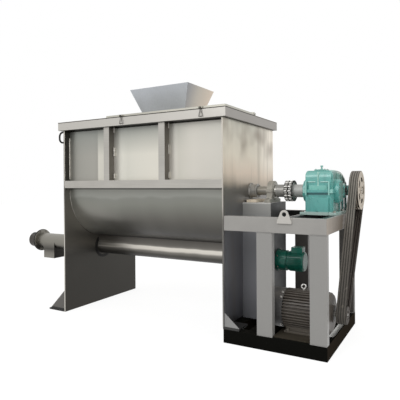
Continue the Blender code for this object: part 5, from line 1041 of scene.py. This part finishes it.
def trough():
    """The shell, end plates, frames, covers and feet, and the grab handle and clamp wires on them."""
    finished_form("trough_shell", "trough", 0.002)
    finished_form("drive_end_plate", "drive_plate", 0.003)
    finished_form("far_end_plate", "far_plate", 0.003)
    for node in ("top_rim_frame", "front_panel_frame", "rear_panel_frame"):
        finished_form(node, "frame_steel", 0.003, flat=0)
    finished_form("fixed_cover", "cover_steel", 0.0015)
    finished_form("access_lid", "cover_steel", 0.002)
    finished_form("inlet_hopper", "hopper", 0.0012)
    finished_form("drive_end_foot", "gusset", 0.002)
    finished_form("far_end_foot", "gusset", 0.002)
    handle = Maker()
    root, reach, bend = FAR_FACE - 0.001, FAR_FACE - 0.100, 0.055
    y, low, high, rod = -0.690, 2.170, 2.302, 0.0115
    path = [(root, high)] + arc((reach + bend, high - bend), bend, 90, 180, 8)
    path += arc((reach + bend, low + bend), bend, 180, 270, 8) + [(root, low)]
    path = [Vector((x, y, z)) for x, z in path]
    for start, end in zip(path, path[1:]):
        if (end - start).length > 1e-6:
            handle.rod(start, end, rod, 16)
    handle.piece("far_plate_grab", "black_paint", "frame", "black_paint", 0.0001, ["far_plate_handle"])
    spread, wire, barrel = 0.022, 0.0029, 0.0080
    for number in (1, 2):
        node = f"lid_clamp_{number}"
        low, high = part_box(node)
        middle, y = (low.x + high.x) / 2, (low.y + high.y) / 2
        foot = low.z + 0.010
        clamp = Maker()
        for side in (-1, 1):
            clamp.rod((middle, y, high.z - 0.006), (middle + side * spread, y, foot), wire)
        clamp.rod((middle - spread, y, foot), (middle + spread, y, foot), wire)
        clamp.rod((middle, low.y, high.z - 0.010), (middle, high.y, high.z - 0.010), barrel, 20)
        clamp.piece(node + "_wire", "dark_steel", BODIES[node], SLOTS[node], 0.0005, [node])
    finished_form("hinge_pin", "bright_steel", 0.001)
    dress("gasket", "lid_gasket")


def trough_seams():
    """Stitch welds of the wall panels' ribs and the rails, and full welds of the end plates."""
    seams = []
    for x in (-1.5585, -0.7635):
        for low, high in ((1.705, 1.755), (1.975, 2.065), (2.26, 2.31)):
            seams.append(((x, -0.640, low), (x, -0.640, high)))
            seams.append(((x, 0.640, low), (x, 0.640, high)))
    seams += [((FAR_FACE + 0.022, side, 1.70), (FAR_FACE + 0.022, side, 2.22)) for side in (-0.634, 0.634)]
    welds("rib_stitch_welds", "frame", seams, 0.0075)
    seams = []
    for x in (DRIVE_FACE - 0.0155, FAR_FACE + 0.0155):
        seams += [((x, side, 1.60), (x, side, 2.31)) for side in (-0.716, 0.716)]
    welds("plate_corner_welds", "frame", seams, 0.0042)
    seams = []
    for x in (DRIVE_FACE - 0.0175, FAR_FACE + 0.0175):
        rim = [(x, 0.6295 * math.cos(math.pi * i / 48), AGITATOR_Z - 0.6295 * math.sin(math.pi * i / 48))
               for i in range(49) if abs(i - 24) > 5]
        seams += [(a, b) for a, b in zip(rim, rim[1:]) if (Vector(a) - Vector(b)).length < 0.1]
    welds("plate_curve_welds", "frame", seams, 0.0034, "curve_weld")
    base_x, base_y, z = (-1.634, -1.082), (0.182, 0.536), 2.4285
    corners = [(base_x[0], base_y[0], z), (base_x[1], base_y[0], z), (base_x[1], base_y[1], z),
               (base_x[0], base_y[1], z)]
    welds("hopper_foot_welds", "frame", [(corners[i], corners[(i + 1) % 4]) for i in range(4)], 0.003)
    spots = []
    for i in range(5):
        x = -1.628 + i * 0.135
        spots += [((x, y, 2.4268), ALONG_Z) for y in (0.168, 0.550)]
    bolts("hopper_flange_bolts", "frame", 8, spots)
    rows = [((-2.34 + i * 0.2558, 0.722, 2.4205), ALONG_Z) for i in range(10)]
    bolts("cover_edge_bolts", "frame", 8, rows)


# Agitator

def agitator():
    """The shaft with its ribbons, and what its bearings stand on."""
    for node in ("agitator_shaft", "outer_ribbon_1", "outer_ribbon_2", "inner_ribbon_1", "inner_ribbon_2"):
        finished_form(node, "agitator_steel", 0.0015)
    finished_form("bearing_pedestal", "pedestal", 0.003)
    finished_form("packing_plate", "packing", 0.002)
    finished_form("far_bearing_bracket", "stand_paint", 0.003)


def seal(name, node, face, outward):
    """A stuffing box: flange on the end plate, body, gland ring and three studs."""
    flange, gland = 0.010, 0.090
    profile = [(-0.0155, 0.0520), (-0.0155, 0.0670), (0, 0.0670), (0, 0.0920), (flange, 0.0920),
               (flange, 0.0780), (0.016, 0.0750), (0.070, 0.0750), (0.070, 0.0700), (0.074, 0.0700),
               (0.074, 0.0800), (gland, 0.0800), (gland, 0.0580), (0.086, 0.0520)]
    profile = [(face + outward * out, radius) for out, radius in profile]
    body = Maker().lathe(profile, 0, AGITATOR_Z, close=True)
    body.piece(name, "seal_casting", "frame", "cast_iron", 0.0012, [node])
    for part, out, radius, count in (("_flange_bolts", flange, 0.0845, 6), ("_gland_nuts", gland, 0.0690, 3)):
        spots = circle_spots(face + outward * out, 0, AGITATOR_Z, radius, count, (outward, 0, 0))
        bolts(name + part, "frame", 8, spots)


def pillow_block(name, node, middle):
    """A split housing: an arch on a long foot, with a cap joint, end rings and a grease nipple."""
    low, half, arch = 1.4173, 0.175, 0.112
    foot = [(half, low), (half, low + 0.030), (half - 0.006, low + 0.036), (arch + 0.010, low + 0.042),
            (arch, low + 0.060)]
    outline = [(-half, low)] + foot + arc((0, AGITATOR_Z), arch, 0, 180, 30)
    outline += [(-y, z) for y, z in reversed(foot[1:])]
    shape = Maker()
    shape.slab(outline, (middle - 0.031, middle + 0.031))
    for side in (-1, 1):
        inner, outer = middle + side * 0.030, middle + side * 0.0388
        ring = [(inner, 0.098), (outer, 0.095), (outer, 0.0515), (inner, 0.0515)]
        shape.lathe(ring, 0, AGITATOR_Z, close=True)
    wide, joint = (middle - 0.034, middle + 0.034), (AGITATOR_Z - 0.014, AGITATOR_Z + 0.014)
    shape.block(wide, (-arch - 0.012, -arch + 0.030), joint)
    shape.block(wide, (arch - 0.030, arch + 0.012), joint)
    shape.piece(name, "casting", "frame", "cast_iron", 0.002, [node])
    bolts(name + "_foot_bolts", "frame", 16, [((middle, y, low + 0.0345), ALONG_Z) for y in (-0.148, 0.148)])
    crown = AGITATOR_Z + arch
    nipple = Maker().rod((middle, 0, crown - 0.001), (middle, 0, crown + 0.012), 0.005, 6)
    nipple.rod((middle, 0, crown + 0.012), (middle, 0, crown + 0.019), 0.003, 10)
    nipple.piece(name + "_nipple", "bright_steel", "frame", "bright_steel", 0.0005)


def chain_coupling():
    """Two toothed hubs and the double chain that wraps them."""
    finished_form("coupling_hub_agitator", "darker_hub_steel", 0.0012)
    finished_form("coupling_hub_reducer", "hub_steel", 0.0012)
    ring = Maker().lathe(collar(0.2590, 0.2735, 0.0520, 0.0680), 0, AGITATOR_Z, close=True)
    ring.piece("bearing_collar", "bright_steel", "agitator", "bright_steel", 0.001)
    pitch_radius, lobe, links = 0.107, 0.0108, 14
    link_shape = Maker()
    link_shape.rod((0.3868, pitch_radius, AGITATOR_Z), (0.4732, pitch_radius, AGITATOR_Z), 0.0042, 12)
    away = Vector((0, *round_point(pitch_radius, TURN / links)))
    for x in (0.3862, 0.4232, 0.4702):
        outline = []
        heading = math.degrees(math.atan2(away.z, away.y - pitch_radius))
        for y, z, start in ((away.y, away.z, heading - 90), (pitch_radius, 0, heading + 90)):
            outline += arc((y, AGITATOR_Z + z), lobe, start, start + 180, 6)
        link_shape.slab(outline, (x, x + 0.0034))
    made = patterned("coupling_chain_links", link_shape.mesh("coupling_chain_links"), RING_OF_COPIES,
                     "chain_steel", "agitator", "dark_steel", Count=links, Centre=(0.0, 0.0, AGITATOR_Z))
    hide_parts("coupling_chain")
    roller = Maker()
    out = pitch_radius + 0.0040
    for x in (0.3900, 0.4310):
        roller.rod((x, out, AGITATOR_Z), (x + 0.0290, out, AGITATOR_Z), 0.0076, 14)
    patterned("coupling_chain_rollers", roller.mesh("coupling_chain_rollers"), RING_OF_COPIES, "roller_steel",
              "agitator", "bright_steel", Count=links, Centre=(0.0, 0.0, AGITATOR_Z))


# Discharge conveyor

def discharge():
    """The screw's trough, tube and end housings with their bolts and gaskets."""
    finished_form("discharge_trough", "conveyor", 0.0015)
    finished_form("outlet_tube", "tube_steel", 0.0015)
    finished_form("screw_end_housing", "housing_steel", 0.002)
    finished_form("screw_auger", "agitator_steel", 0.001)
    finished_form("screw_shaft_seal", "seal_casting", 0.001)
    # A collar ring, painted black to give the dark crescent of shade round the tube.
    profile = collar(FAR_FACE + 0.0158, FAR_FACE + 0.0220, 0.132, 0.166)
    ring = Maker().lathe(profile, 0, SCREW_Z, close=True)
    ring.piece("conveyor_root_ring", "black_paint", "frame", "dark_steel", 0.0005)
    profile = [(-3.5800, 0.146), (-3.5800, 0.1650), (-3.5700, 0.1650), (-3.5700, 0.1608), (-3.5765, 0.1608),
               (-3.5765, 0.146)]
    gasket = Maker().lathe(profile, 0, SCREW_Z, close=True)
    gasket.piece("outlet_flange_gasket", "black_paint", "frame", "gasket_rubber", 0.0005)
    bolts("tube_root_bolts", "frame", 12, circle_spots(FAR_FACE - 0.020, 0, SCREW_Z, 0.1300, 8, (-1, 0, 0)))
    bolts("outlet_flange_bolts", "frame", 12, circle_spots(-3.5558, 0, SCREW_Z, 0.1420, 8, (1, 0, 0)))


def screw_gearmotor():
    """The gear head with its flange bolts, the finned motor, its fan cover and the terminal box."""
    finished_form("screw_gear_head", "box_green", 0.003)
    finished_form("screw_motor", "box_green", 0.003)
    finished_form("screw_terminal_box", "box_green", 0.003)
    bolts("gear_head_bolts", "frame", 10, circle_spots(0.3056, 0, SCREW_Z, 0.1185, 6, ALONG_X))
    box_low, box_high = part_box("screw_terminal_box")
    spots = [((x, y, box_high.z), ALONG_Z) for x in (box_low.x + 0.011, box_high.x - 0.011)
             for y in (box_low.y + 0.011, box_high.y - 0.011)]
    bolts("terminal_box_screws", "frame", 5, spots)
    fin = Maker().block((0.425, 0.572), (-0.0016, 0.0016), (SCREW_Z + 0.1045, SCREW_Z + 0.1125))
    patterned("screw_motor_fins", fin.mesh("screw_motor_fins"), RING_OF_COPIES, "box_green", "frame",
              "green_paint", Count=40, Centre=(0.0, 0.0, SCREW_Z))


# Reducer

def cover_top(y):
    """The height of the reducer's cover at a place along its length."""
    level, rise, crest, rear = 1.5462, 0.215, 0.100, 0.550
    nose, nose_radius = -0.120, 0.080
    if y < nose:
        return level + rise - nose_radius + math.sqrt(max(0.0, nose_radius ** 2 - (y - nose) ** 2))
    if y < crest:
        return level + rise
    return level + rise * math.cos(math.asin(min(1.0, (y - crest) / (rear - crest))))


def reducer():
    """The reducer's case with its ribs, bearing covers, bolts, breather and drain plug."""
    finished_form("reducer_case", "teal", 0.004)
    finished_form("reducer_cover", "teal", 0.004)
    finished_form("reducer_inspection_cover", "teal", 0.002)
    finished_form("reducer_output_shaft", "bright_steel", 0.002)
    finished_form("reducer_input_shaft", "bright_steel", 0.002)
    low, high = 0.6545, 0.9195
    ribs = Maker()
    for y in (-0.159, 0.050, 0.103, 0.156, 0.2370, 0.3175, 0.4020, 0.486):
        top = cover_top(y)
        corner = min(0.050, (top - 1.575) * 0.6)
        outline = [(low - 0.010, 1.5600)]
        for x, start in ((low - 0.010 + corner, 180), (high + 0.010 - corner, 90)):
            outline += arc((x, top + 0.008 - corner), corner, start, start - 90, 6)
        outline.append((high + 0.010, 1.5600))
        ribs.prism([[(x, y + shift, z) for x, z in outline] for shift in (-0.007, 0.007)])
    ribs.piece("reducer_ribs", "rib_teal", "frame", "teal_paint", 0.003)
    front = Maker()
    front.block((0.781, 0.793), (-0.2075, -0.196), (1.6440, 1.7450))
    for x in ((0.682, 0.762), (0.812, 0.892)):
        front.block(x, (-0.2075, -0.196), (1.6380, 1.6470))
    for x in (0.664, 0.898):
        front.block((x, x + 0.011), (-0.2440, -0.196), (1.5050, 1.6470))
    front.block((0.694, 0.880), (-0.2090, -0.196), (1.5600, 1.6050))
    front.piece("reducer_front_frame", "teal", "frame", "teal_paint", 0.003)
    caps = Maker()
    for y, radius, sides in ((0.0, 0.118, (1,)), (0.224, 0.075, (-1, 1)), (0.400, 0.053, (-1,))):
        for side in sides:
            face = REDUCER_X + side * 0.1825
            profile = collar(face - side * 0.001, face + side * 0.006, 0, radius)
            caps.lathe(profile, y, AGITATOR_Z, 48)
    output_ring = [(0.6055, 0.046), (0.6055, 0.118), (0.5985, 0.118), (0.5985, 0.060), (0.5965, 0.046)]
    caps.lathe(output_ring, 0, AGITATOR_Z, 48, True)
    caps.lathe(collar(0.9685, 0.9755, 0.0315, 0.053), INPUT_Y, AGITATOR_Z, 40, True)
    caps.piece("reducer_bearing_covers", "teal", "frame", "teal_paint", 0.0015)
    spots = circle_spots(0.5985, 0, AGITATOR_Z, 0.1050, 8, (-1, 0, 0))
    spots += circle_spots(0.9755, 0, AGITATOR_Z, 0.1050, 8, ALONG_X)
    for side in (-1, 1):
        for y, radius in ((0.224, 0.0640), (0.400, 0.0440)):
            spots += circle_spots(REDUCER_X + side * 0.1885, y, AGITATOR_Z, radius, 6, (side, 0, 0))
    for x in (0.6448, 0.9292):
        spots += [((x, y, 1.5635), ALONG_Z) for y in (-0.205, 0.134, 0.328, 0.480, 0.560)]
    spots += [((x, y, 1.5635), ALONG_Z) for x in (0.715, REDUCER_X, 0.859) for y in (-0.2125, 0.5625)]
    bolts("reducer_bolts", "frame", 8, spots, "teal", "teal_paint")
    spots = [((x, y, 1.3286), ALONG_Z) for x in (0.625, 0.949) for y in (-0.195, 0.175, 0.545)]
    bolts("reducer_foot_bolts", "frame", 16, spots)
    spots = [((x, y, 1.7737), ALONG_Z) for x in (0.741, 0.833) for y in (-0.107, 0.017)]
    bolts("inspection_cover_screws", "frame", 6, spots)
    vent = Maker()
    for low, high, radius, sides in ((1.7730, 1.7860, 0.013, 6), (1.7860, 1.7960, 0.006, 16),
                                     (1.7960, 1.8160, 0.014, 20)):
        vent.rod((REDUCER_X, -0.045, low), (REDUCER_X, -0.045, high), radius, sides)
    vent.piece("reducer_breather", "teal", "frame", "teal_paint", 0.0015)
    plug = Maker()
    for face, radius, sides in ((-0.2480, 0.008, 6), (-0.2430, 0.011, 24)):
        plug.rod((REDUCER_X, -0.2395, 1.3450), (REDUCER_X, face, 1.3450), radius, sides)
    plug.piece("oil_drain_plug", "teal", "frame", "teal_paint", 0.001)


# Belt drive

def belt_path():
    """The pulleys' common tangents and arcs as (y, z, outward y, outward z), at the rims."""
    big, small = Vector((INPUT_Y, AGITATOR_Z)), Vector((MOTOR_Y, MOTOR_Z))
    big_radius, small_radius = 0.215, 0.085
    between = small - big
    heading = math.atan2(between.y, between.x)
    lean = math.acos((big_radius - small_radius) / between.length)
    path = []
    for centre, radius, start, sweep, count in ((big, big_radius, heading + lean, TURN - 2 * lean, 40),
                                                (small, small_radius, heading - lean, 2 * lean, 24)):
        for step in range(count + 1):
            angle = start + sweep * step / count
            out = Vector(round_point(1, angle))
            path.append((*(centre + out * radius), *out))
    return path


def belt_drive():
    """Four separate V belts, the grooved pulleys and their clamping bushes."""
    top, depth = 0.0213, 0.011
    first = BELT_START + BELT_PITCH / 2
    section = [(0.0028, -top / 2), (0.0028, top / 2), (0.0005, top / 2), (-depth, top / 2 - 0.0034),
               (-depth, 0.0034 - top / 2), (0.0005, -top / 2)]
    strand = Maker().loop(belt_path(), first, section)
    made = patterned("belt_strands", strand.mesh("belt_strands"), ROW_OF_COPIES, "belt", "frame",
                     "belt_rubber", Count=BELT_COUNT, Step=(BELT_PITCH, 0.0, 0.0))
    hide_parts("drive_belts")
    half, over, under = BELT_COUNT / 2 * BELT_PITCH - 0.0016, 0.0012, 0.0004
    section = ((over, -half), (over, half), (under, half), (under, -half))
    # A thin dark band across the strands' backs, which shows as painted shade in the gaps between them.
    band = Maker().loop(belt_path(), PULLEY_MIDDLE, section)
    band.piece("belt_backing", "gasket", "frame", "belt_rubber", 0.0001)
    face = Maker()
    for low, high in ((0.0553, 0.100), (0.146, 0.1785)):
        face.lathe(collar(1.1015, 1.1075, low, high), INPUT_Y, AGITATOR_Z, close=True)
    for index in range(5):
        out = Vector(round_point(1, TURN * (index + 0.5) / 5))
        side = Vector((-out.y, out.x)) * 0.032
        middle = Vector((INPUT_Y, AGITATOR_Z))
        root, tip = middle + out * 0.096, middle + out * 0.149
        face.slab([root - side, tip - side, tip + side, root + side], (1.1017, 1.1073))
    face.piece("driven_pulley_face", "pulley", "reducer_input", "pulley_iron", 0.0008)
    finished_form("driven_pulley", "pulley", 0.0012)
    finished_form("motor_pulley", "motor_pulley", 0.0012)
    for name, finish, body, y, z, bore, rim in (
            ("driven_bush", "pulley", "reducer_input", INPUT_Y, AGITATOR_Z, 0.0302, 0.048),
            ("motor_bush", "motor_pulley", "motor_rotor", MOTOR_Y, MOTOR_Z, 0.0277, 0.044)):
        profile = [(1.1095, bore), (1.1095, rim), (1.1130, rim - 0.002), (1.1130, bore)]
        bush = Maker().lathe(profile, y, z, 48, True)
        bush.piece(name, finish, body, "dark_steel", 0.0006)
        spots = circle_spots(1.1128, y, z, (bore + rim) / 2, 3, ALONG_X)
        bolts(name + "_screws", body, 6, spots, "dark_steel", "dark_steel")


# Main motor

def main_motor():
    """The finned motor on its feet, with its cowl's grille, screws, lifting eye and holding-down bolts."""
    finished_form("motor_frame", "motor_paint", 0.002)
    finished_form("motor_end_bell", "motor_paint", 0.002)
    finished_form("fan_cowl", "cowl_paint", 0.002)
    finished_form("motor_terminal_box", "motor_paint", 0.003)
    finished_form("motor_shaft", "bright_steel", 0.001)
    dress("motor_paint", "cooling_fan")
    start = 0.345
    guard = Maker()
    for radius in (0.030, 0.055, 0.080, 0.105, 0.130, 0.155):
        guard.ring((start - 0.001, MOTOR_Y, MOTOR_Z), ALONG_X, radius, 0.0025, 48, 8)
    for index in range(3):
        out = Vector((0, *round_point(0.165, TURN * index / 6)))
        centre = Vector((start - 0.001, MOTOR_Y, MOTOR_Z))
        guard.rod(centre - out, centre + out, 0.0025, 8)
    guard.piece("cowl_guard_rings", "dark_steel", "frame", "motor_paint", 0.0003)
    spots = []
    for angle in (45, 118, 136, 225, 315):
        out = Vector((0, *round_point(1, math.radians(angle))))
        spots.append((Vector((0.4900, MOTOR_Y, MOTOR_Z)) + out * 0.1968, out))
    bolts("cowl_screws", "frame", 11, spots, "roller_steel")
    bolts("bell_bolts", "frame", 10, circle_spots(0.9480, MOTOR_Y, MOTOR_Z, 0.1880, 4, ALONG_X))
    eye = Maker()
    eye.ring((0.6780, MOTOR_Y, MOTOR_Z + 0.2300), (0.45, -0.89, 0), 0.0215, 0.0075)
    eye.rod((0.6780, MOTOR_Y, MOTOR_Z + 0.1960), (0.6780, MOTOR_Y, MOTOR_Z + 0.2060), 0.014, 20)
    eye.piece("motor_lifting_eye", "roller_steel", "frame", "bright_steel", 0.001)
    spots = [((x, MOTOR_Y + side * 0.1500, 0.1686), ALONG_Z) for x in (0.560, 0.790) for side in (-1, 1)]
    bolts("motor_foot_bolts", "frame", 14, spots)


# Stand

def stand():
    """The drive's stand: posts, top and base frames, their welds and the lifting lug."""
    for node in ("front_inner_post", "front_outer_post", "stand_top_frame"):
        finished_form(node, "stand_paint", 0.004)
    # The rear posts take the darker copy of the grey, as painted shade.
    for node in ("rear_inner_post", "rear_outer_post"):
        finished_form(node, "shade_paint", 0.004)
    finished_form("stand_lifting_lug", "stand_paint", 0.002)
    finished_form("stand_base_frame", "base_paint", 0.004)
    seams = []
    for low, high in ((0.313, 0.474), (0.840, 1.001)):
        for y in (-0.7165, -0.6395, 0.5775, 0.5005):
            for z in (0.1390, 1.1490):
                seams.append(((low + 0.004, y, z), (high - 0.004, y, z)))
    welds("post_welds", "frame", seams, 0.0028, "stand_paint", "grey_paint")
    y = -0.7165
    edge = [((0.540, y, 1.2470), (0.666, y, 1.2470))]
    edge += [((x, y, 1.25), (x, y, 1.295)) for x in (0.5325, 0.6735)]
    welds("lug_welds", "frame", edge, 0.003, "stand_paint", "grey_paint")


# Light, floor and camera

def seen_plainly(tree):
    """Set for what the camera sees directly, through clear parts or in a mirror."""
    seen = add_node(tree, "ShaderNodeLightPath").outputs
    direct = result_of(tree, "MAXIMUM", seen["Is Camera Ray"], seen["Is Transmission Ray"])
    return result_of(tree, "MAXIMUM", direct, seen["Is Glossy Ray"])


def floor():
    """A floor that takes the machine's shadow and is otherwise as white as the backdrop."""
    size = 30.0
    mesh = bpy.data.meshes.new("studio_floor")
    corners = [(-size, -size, 0), (size, -size, 0), (size, size, 0), (-size, size, 0)]
    mesh.from_pydata(corners, [], [(0, 1, 2, 3)])
    made = link("studio_floor", mesh)
    mesh.transform(Matrix.Translation((0, 0, -0.002)))
    material = bpy.data.materials.new("Studio floor")
    material.use_nodes = True
    tree = material.node_tree
    tree.nodes.clear()
    pale = add_node(tree, "ShaderNodeBsdfDiffuse", {"Color": (0.8, 0.8, 0.79, 1)})
    faint = add_node(tree, "ShaderNodeBsdfDiffuse", {"Color": (0.24, 0.24, 0.24, 1)})
    white = add_node(tree, "ShaderNodeEmission", {"Color": (1, 1, 1, 1), "Strength": 0.87})
    backdrop = add_node(tree, "ShaderNodeAddShader", {0: faint.outputs[0], 1: white.outputs[0]})
    mixed = add_node(tree, "ShaderNodeMixShader",
                     {0: seen_plainly(tree), 1: pale.outputs[0], 2: backdrop.outputs[0]})
    add_node(tree, "ShaderNodeOutputMaterial", {"Surface": mixed.outputs[0]})
    mesh.materials.append(material)


def world_light():
    """A soft sky that the camera sees as plain white."""
    world = bpy.data.worlds.new("Studio")
    bpy.context.scene.world = world
    world.use_nodes = True
    world.cycles.sampling_method = "NONE"
    tree = world.node_tree
    tree.nodes.clear()
    soft = add_node(tree, "ShaderNodeBackground", {"Color": (1.0, 0.99, 0.97, 1), "Strength": 0.62})
    white = add_node(tree, "ShaderNodeBackground", {"Color": (1, 1, 1, 1), "Strength": 1.0})
    mixed = add_node(tree, "ShaderNodeMixShader",
                     {0: seen_plainly(tree), 1: soft.outputs[0], 2: white.outputs[0]})
    add_node(tree, "ShaderNodeOutputWorld", {"Surface": mixed.outputs[0]})


def lamp(name, place, target, size, power):
    """A round soft lamp that looks at a point."""
    light = bpy.data.lights.new(name, "AREA")
    light.shape = "DISK"
    light.size = size
    light.energy = power
    made = link(name, light)
    made.location = place
    made.rotation_euler = (Vector(target) - Vector(place)).to_track_quat("-Z", "Y").to_euler()


def camera():
    """The matched camera, with its lens, shift and slight roll."""
    place, heading = Vector((2.008, -4.764, 1.633)), math.radians(29.907)
    forward = Vector((-math.sin(heading), math.cos(heading), 0))
    data = bpy.data.cameras.new("Camera")
    data.sensor_width = 36.0
    data.lens = 39.83
    data.shift_y = -0.0414
    made = link("Camera", data)
    turn = forward.to_track_quat("-Z", "Y").to_matrix().to_4x4()
    made.matrix_world = Matrix.Translation(place) @ turn @ Matrix.Rotation(-0.0061, 4, "Z")
    bpy.context.scene.camera = made


trough()
trough_seams()
agitator()
seal("drive_seal", "drive_seal_housing", DRIVE_FACE, 1)
seal("far_seal", "far_seal_housing", FAR_FACE, -1)
pillow_block("drive_bearing_block", "drive_bearing", 0.2185)
pillow_block("far_bearing_block", "far_bearing", -2.4975)
chain_coupling()
discharge()
screw_gearmotor()
reducer()
belt_drive()
main_motor()
stand()
floor()
world_light()
lamp("Key", (-1.5, -7.0, 6.5), (-0.6, 0, 1.2), 5.0, 270.0)
lamp("Side", (7.0, -1.0, 4.5), (0.0, 0, 1.4), 5.0, 130.0)
camera()
bpy.context.scene.view_settings.view_transform = "Standard"
